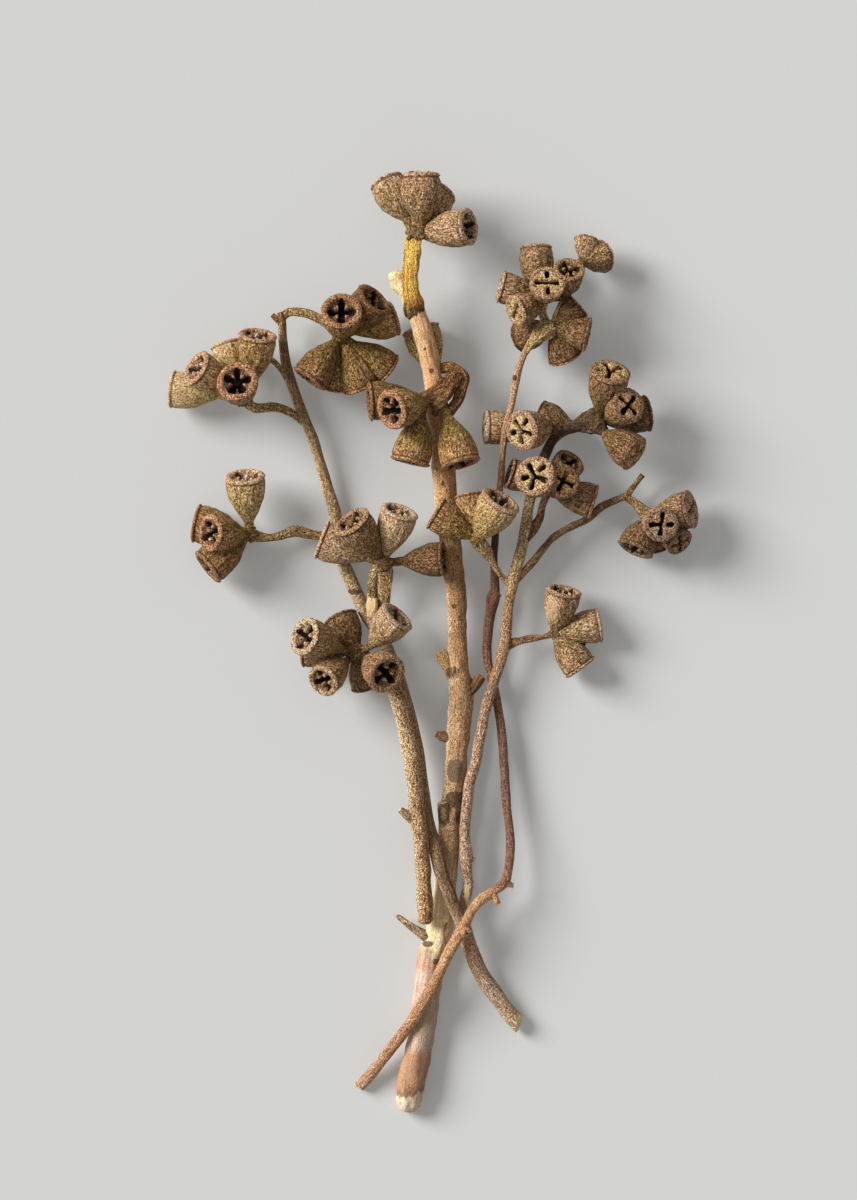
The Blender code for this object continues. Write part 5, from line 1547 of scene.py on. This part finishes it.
        GumNut((43.7, 17.3, 12.5), 6.1, turn=45, light=0.95, brighter_patch=Mark(39.6, 10.8, 2.0, 4.0, force=1.3)),
        GumNut((55.7, 5.7, 7.0), 6.0, light=1.1),
        GumNut((49.3, -8.7, 7.2), 6.0, light=0.95),
        GumNut((48.0, -3.3, 4.6), 4.5, light=0.7),
    ]),
    Umbel("far_top_nuts", WARM_NUT, PALE_STALK, hubs=[
        (40.0, 104.9, 15.5, 2.2), (37.0, 114.3, 16.0, 2.2), (49.7, 126.5, 14.5, 1.8),
    ], straps=[
        [(30.6, 96.0, 16.4, 1.0), (32.8, 99.6, 16.8, 1.5), (35.2, 102.0, 16.8, 2.6), (37.4, 103.6, 16.4, 3.3),
         (39.8, 104.8, 15.8, 2.7)],
        [(38.6, 105.2, 15.6, 1.5), (36.4, 109.5, 15.9, 1.4), (37.0, 114.3, 16.0, 1.7)],
        [(40.2, 105.4, 15.6, 1.5), (44.3, 115.2, 16.0, 1.5), (47.3, 122.3, 15.4, 1.3), (49.7, 126.5, 14.5, 1.4)],
    ], nuts=[
        GumNut((51.7, 102.3, 16.5), 5.7, turn=45, light=0.62, belly=-0.5),
        GumNut((44.2, 95.0, 10.5), 5.7, light=0.54, belly=-0.8),
        GumNut((48.3, 112.3, 15.0), 5.0, light=0.6, belly=-0.8),
        GumNut((29.0, 101.7, 7.0), 5.3, light=0.55),
        GumNut((45.3, 124.0, 25.0), 5.4, turn=20, root=(44.2, 115.2, 16.4), light=0.7),
        GumNut((38.0, 119.3, 28.0), 5.9, 4, Face.DISC, root=(37.0, 114.6, 16.4), light=0.85, apart=(0, 2)),
        GumNut((34.3, 131.7, 13.0), 5.7, root=(35.0, 114.6, 16.0), light=0.95, belly=1.0),
        GumNut((22.3, 118.3, 17.0), 5.7, turn=45, root=(37.0, 114.3, 16.0)),
        GumNut((27.3, 110.0, 22.5), 5.5, 4, Face.DISC, 45, root=(37.0, 114.0, 16.0), light=0.9),
        GumNut((51.2, 134.0, 10.5), 4.0, root=(49.7, 126.5, 14.5), light=1.1, belly=-0.8),
        GumNut((56.3, 128.7, 8.5), 5.7, root=(49.7, 126.5, 14.5), light=0.9, belly=-0.6),
    ]),
)

# Each stem's sides carry painted shade on the right and painted light on the left
BRANCHES = (
    Branch("main_stem", BLOND_BARK, MAIN_STEM, MAIN_STUBS, 3, painted_shade_side=0.34, painted_light_side=0.55, lean=0.6,
           shades=(0.0, 0.9, 0.85, 0.8, 0.0, 0.0, 0.8), marks=(
               Mark(-1.7, -100.7, 1.9, 1.0), Mark(1.6, -106.6, 2.6, 1.2, force=0.6), Mark(7.6, -52.6, 3.4, 2.8),
               Mark(9.2, -57.6, 1.8, 3.2), Mark(3.7, -57.0, 2.3, 4.4, force=0.8),
               Mark(3.5, -57.2, 1.3, 3.2, Zone.CUT, 0.40), Mark(7.3, -43.0, 2.5, 4.0, Zone.PATCH),
               Mark(6.6, -10.3, 2.8, 2.6, force=0.55), Mark(7.0, 12.0, 0.9, 0.8), Mark(-0.4, 90.3, 0.8, 0.8),
               Mark(-2.6, 97.5, 0.5, 0.7), Mark(3.3, 52.7, 0.6, 1.0))),
    Branch("left_stem", SPECKLED_BARK, LEFT_STEM, LEFT_STUBS, 11, shades=(0.5, 0.2), painted_shade_side=0.42,
           painted_light_side=0.35),
    Branch("long_stem", DARK_BARK, LONG_STEM, LONG_STUBS, 21, Slant((28.4, -128.2, 2.8), (1.0, -0.35, 0.25)),
           marks=(Mark(-26.3, 16.7, 2.6, 0.8),), painted_shade_side=0.20, painted_light_side=0.40),
    Branch("middle_stem", GREY_BARK, MIDDLE_STEM, MIDDLE_STUBS, 31, Slant((9.9, -86.2, 8.0), (-0.80, -0.50, 0.55)),
           shades=(1.0, 0.7, 0.7, 0.2), marks=(Mark(11.3, -84.8, 0.9, 4.2, Zone.CUT),)),
    Branch("slender_stem", RED_BARK, SLENDER_STEM, SLENDER_STUBS, 41,
           Slant((-24.6, -149.0, 2.2), (-0.45, -0.9, 0.0)), shades=(0.0, 0.0, 0.0, 0.0),
           marks=(Mark(27.3, 87.7, 0.7, 1.0), Mark(11.4, -96.4, 1.1, 0.9))),
)


@dataclass
class Studio:
    """The pale floor, the soft light from the upper left and the camera straight above."""

    floor_colour: Colour = (0.490, 0.490, 0.480)
    floor_glow: float = 0.12
    floor_half: float = 1.5
    camera_height: float = 4.0
    view_height: float = 0.400
    view_level: float = 0.010
    view_centre: tuple[float, float] = (-0.00156, 0.01435)
    key_from: Point = (-0.73, 0.36, 0.55)
    key_strength: float = 4.14
    key_angle: float = 30.0
    fill_strength: float = 0.34
    floor_roughness: float = 0.9
    floor_specular: float = 0.1
    sensor: float = 24.0
    far_clip: float = 20.0

    def build(self) -> None:
        """Build the floor, the light and the camera."""
        self.build_floor()
        self.build_light()
        self.build_camera()

    def build_floor(self) -> None:
        """Lay a plain matt floor under the sheaf."""
        half = self.floor_half
        mesh = bpy.data.meshes.new("floor")
        mesh.from_pydata([(-half, -half, 0), (half, -half, 0), (half, half, 0), (-half, half, 0)], [], [range(4)])
        graph = Graph("paper")
        for socket, value in (("Base Color", self.floor_colour), ("Emission Color", self.floor_colour),
                              ("Emission Strength", self.floor_glow / self.floor_colour[0]),
                              ("Roughness", self.floor_roughness), ("Specular IOR Level", self.floor_specular)):
            graph.feed(graph.shader.inputs[socket], value)
        mesh.materials.append(graph.material)
        floor = bpy.data.objects.new("floor", mesh)
        bpy.context.scene.collection.objects.link(floor)

    def build_light(self) -> None:
        """Add the large soft key light and the even fill."""
        lamp = bpy.data.lights.new("key", "SUN")
        lamp.energy = self.key_strength
        lamp.angle = math.radians(self.key_angle)
        key = bpy.data.objects.new("key", lamp)
        key.location = self.key_from
        key.rotation_euler = Vector(self.key_from).to_track_quat("Z", "Y").to_euler()
        bpy.context.scene.collection.objects.link(key)
        world = bpy.data.worlds.new("fill")
        world.use_nodes = True
        sky = world.node_tree.nodes["Background"]
        sky.inputs["Color"].default_value = (1.0, 1.0, 1.0, 1.0)
        sky.inputs["Strength"].default_value = self.fill_strength
        bpy.context.scene.world = world
        bpy.context.scene.view_settings.view_transform = "Standard"

    def build_camera(self) -> None:
        """Put the camera straight above, with the photograph's frame."""
        lens = bpy.data.cameras.new("camera")
        lens.sensor_fit = "VERTICAL"
        lens.sensor_height = self.sensor
        lens.lens = self.sensor * (self.camera_height - self.view_level) / self.view_height
        lens.clip_end = self.far_clip
        camera = bpy.data.objects.new("camera", lens)
        camera.location = (*self.view_centre, self.camera_height)
        bpy.context.scene.collection.objects.link(camera)
        bpy.context.scene.camera = camera


def main() -> None:
    """Build the branches, the umbels and the studio."""
    logging.basicConfig(level=logging.INFO)
    materials = {finish.name: finish.dress() for finish in FINISHES}
    for branch in BRANCHES:
        branch.dress(materials)
    for seed, umbel in enumerate(UMBELS, 1):
        umbel.dress(materials, seed)
    Studio().build()


if __name__ == "__main__":
    main()
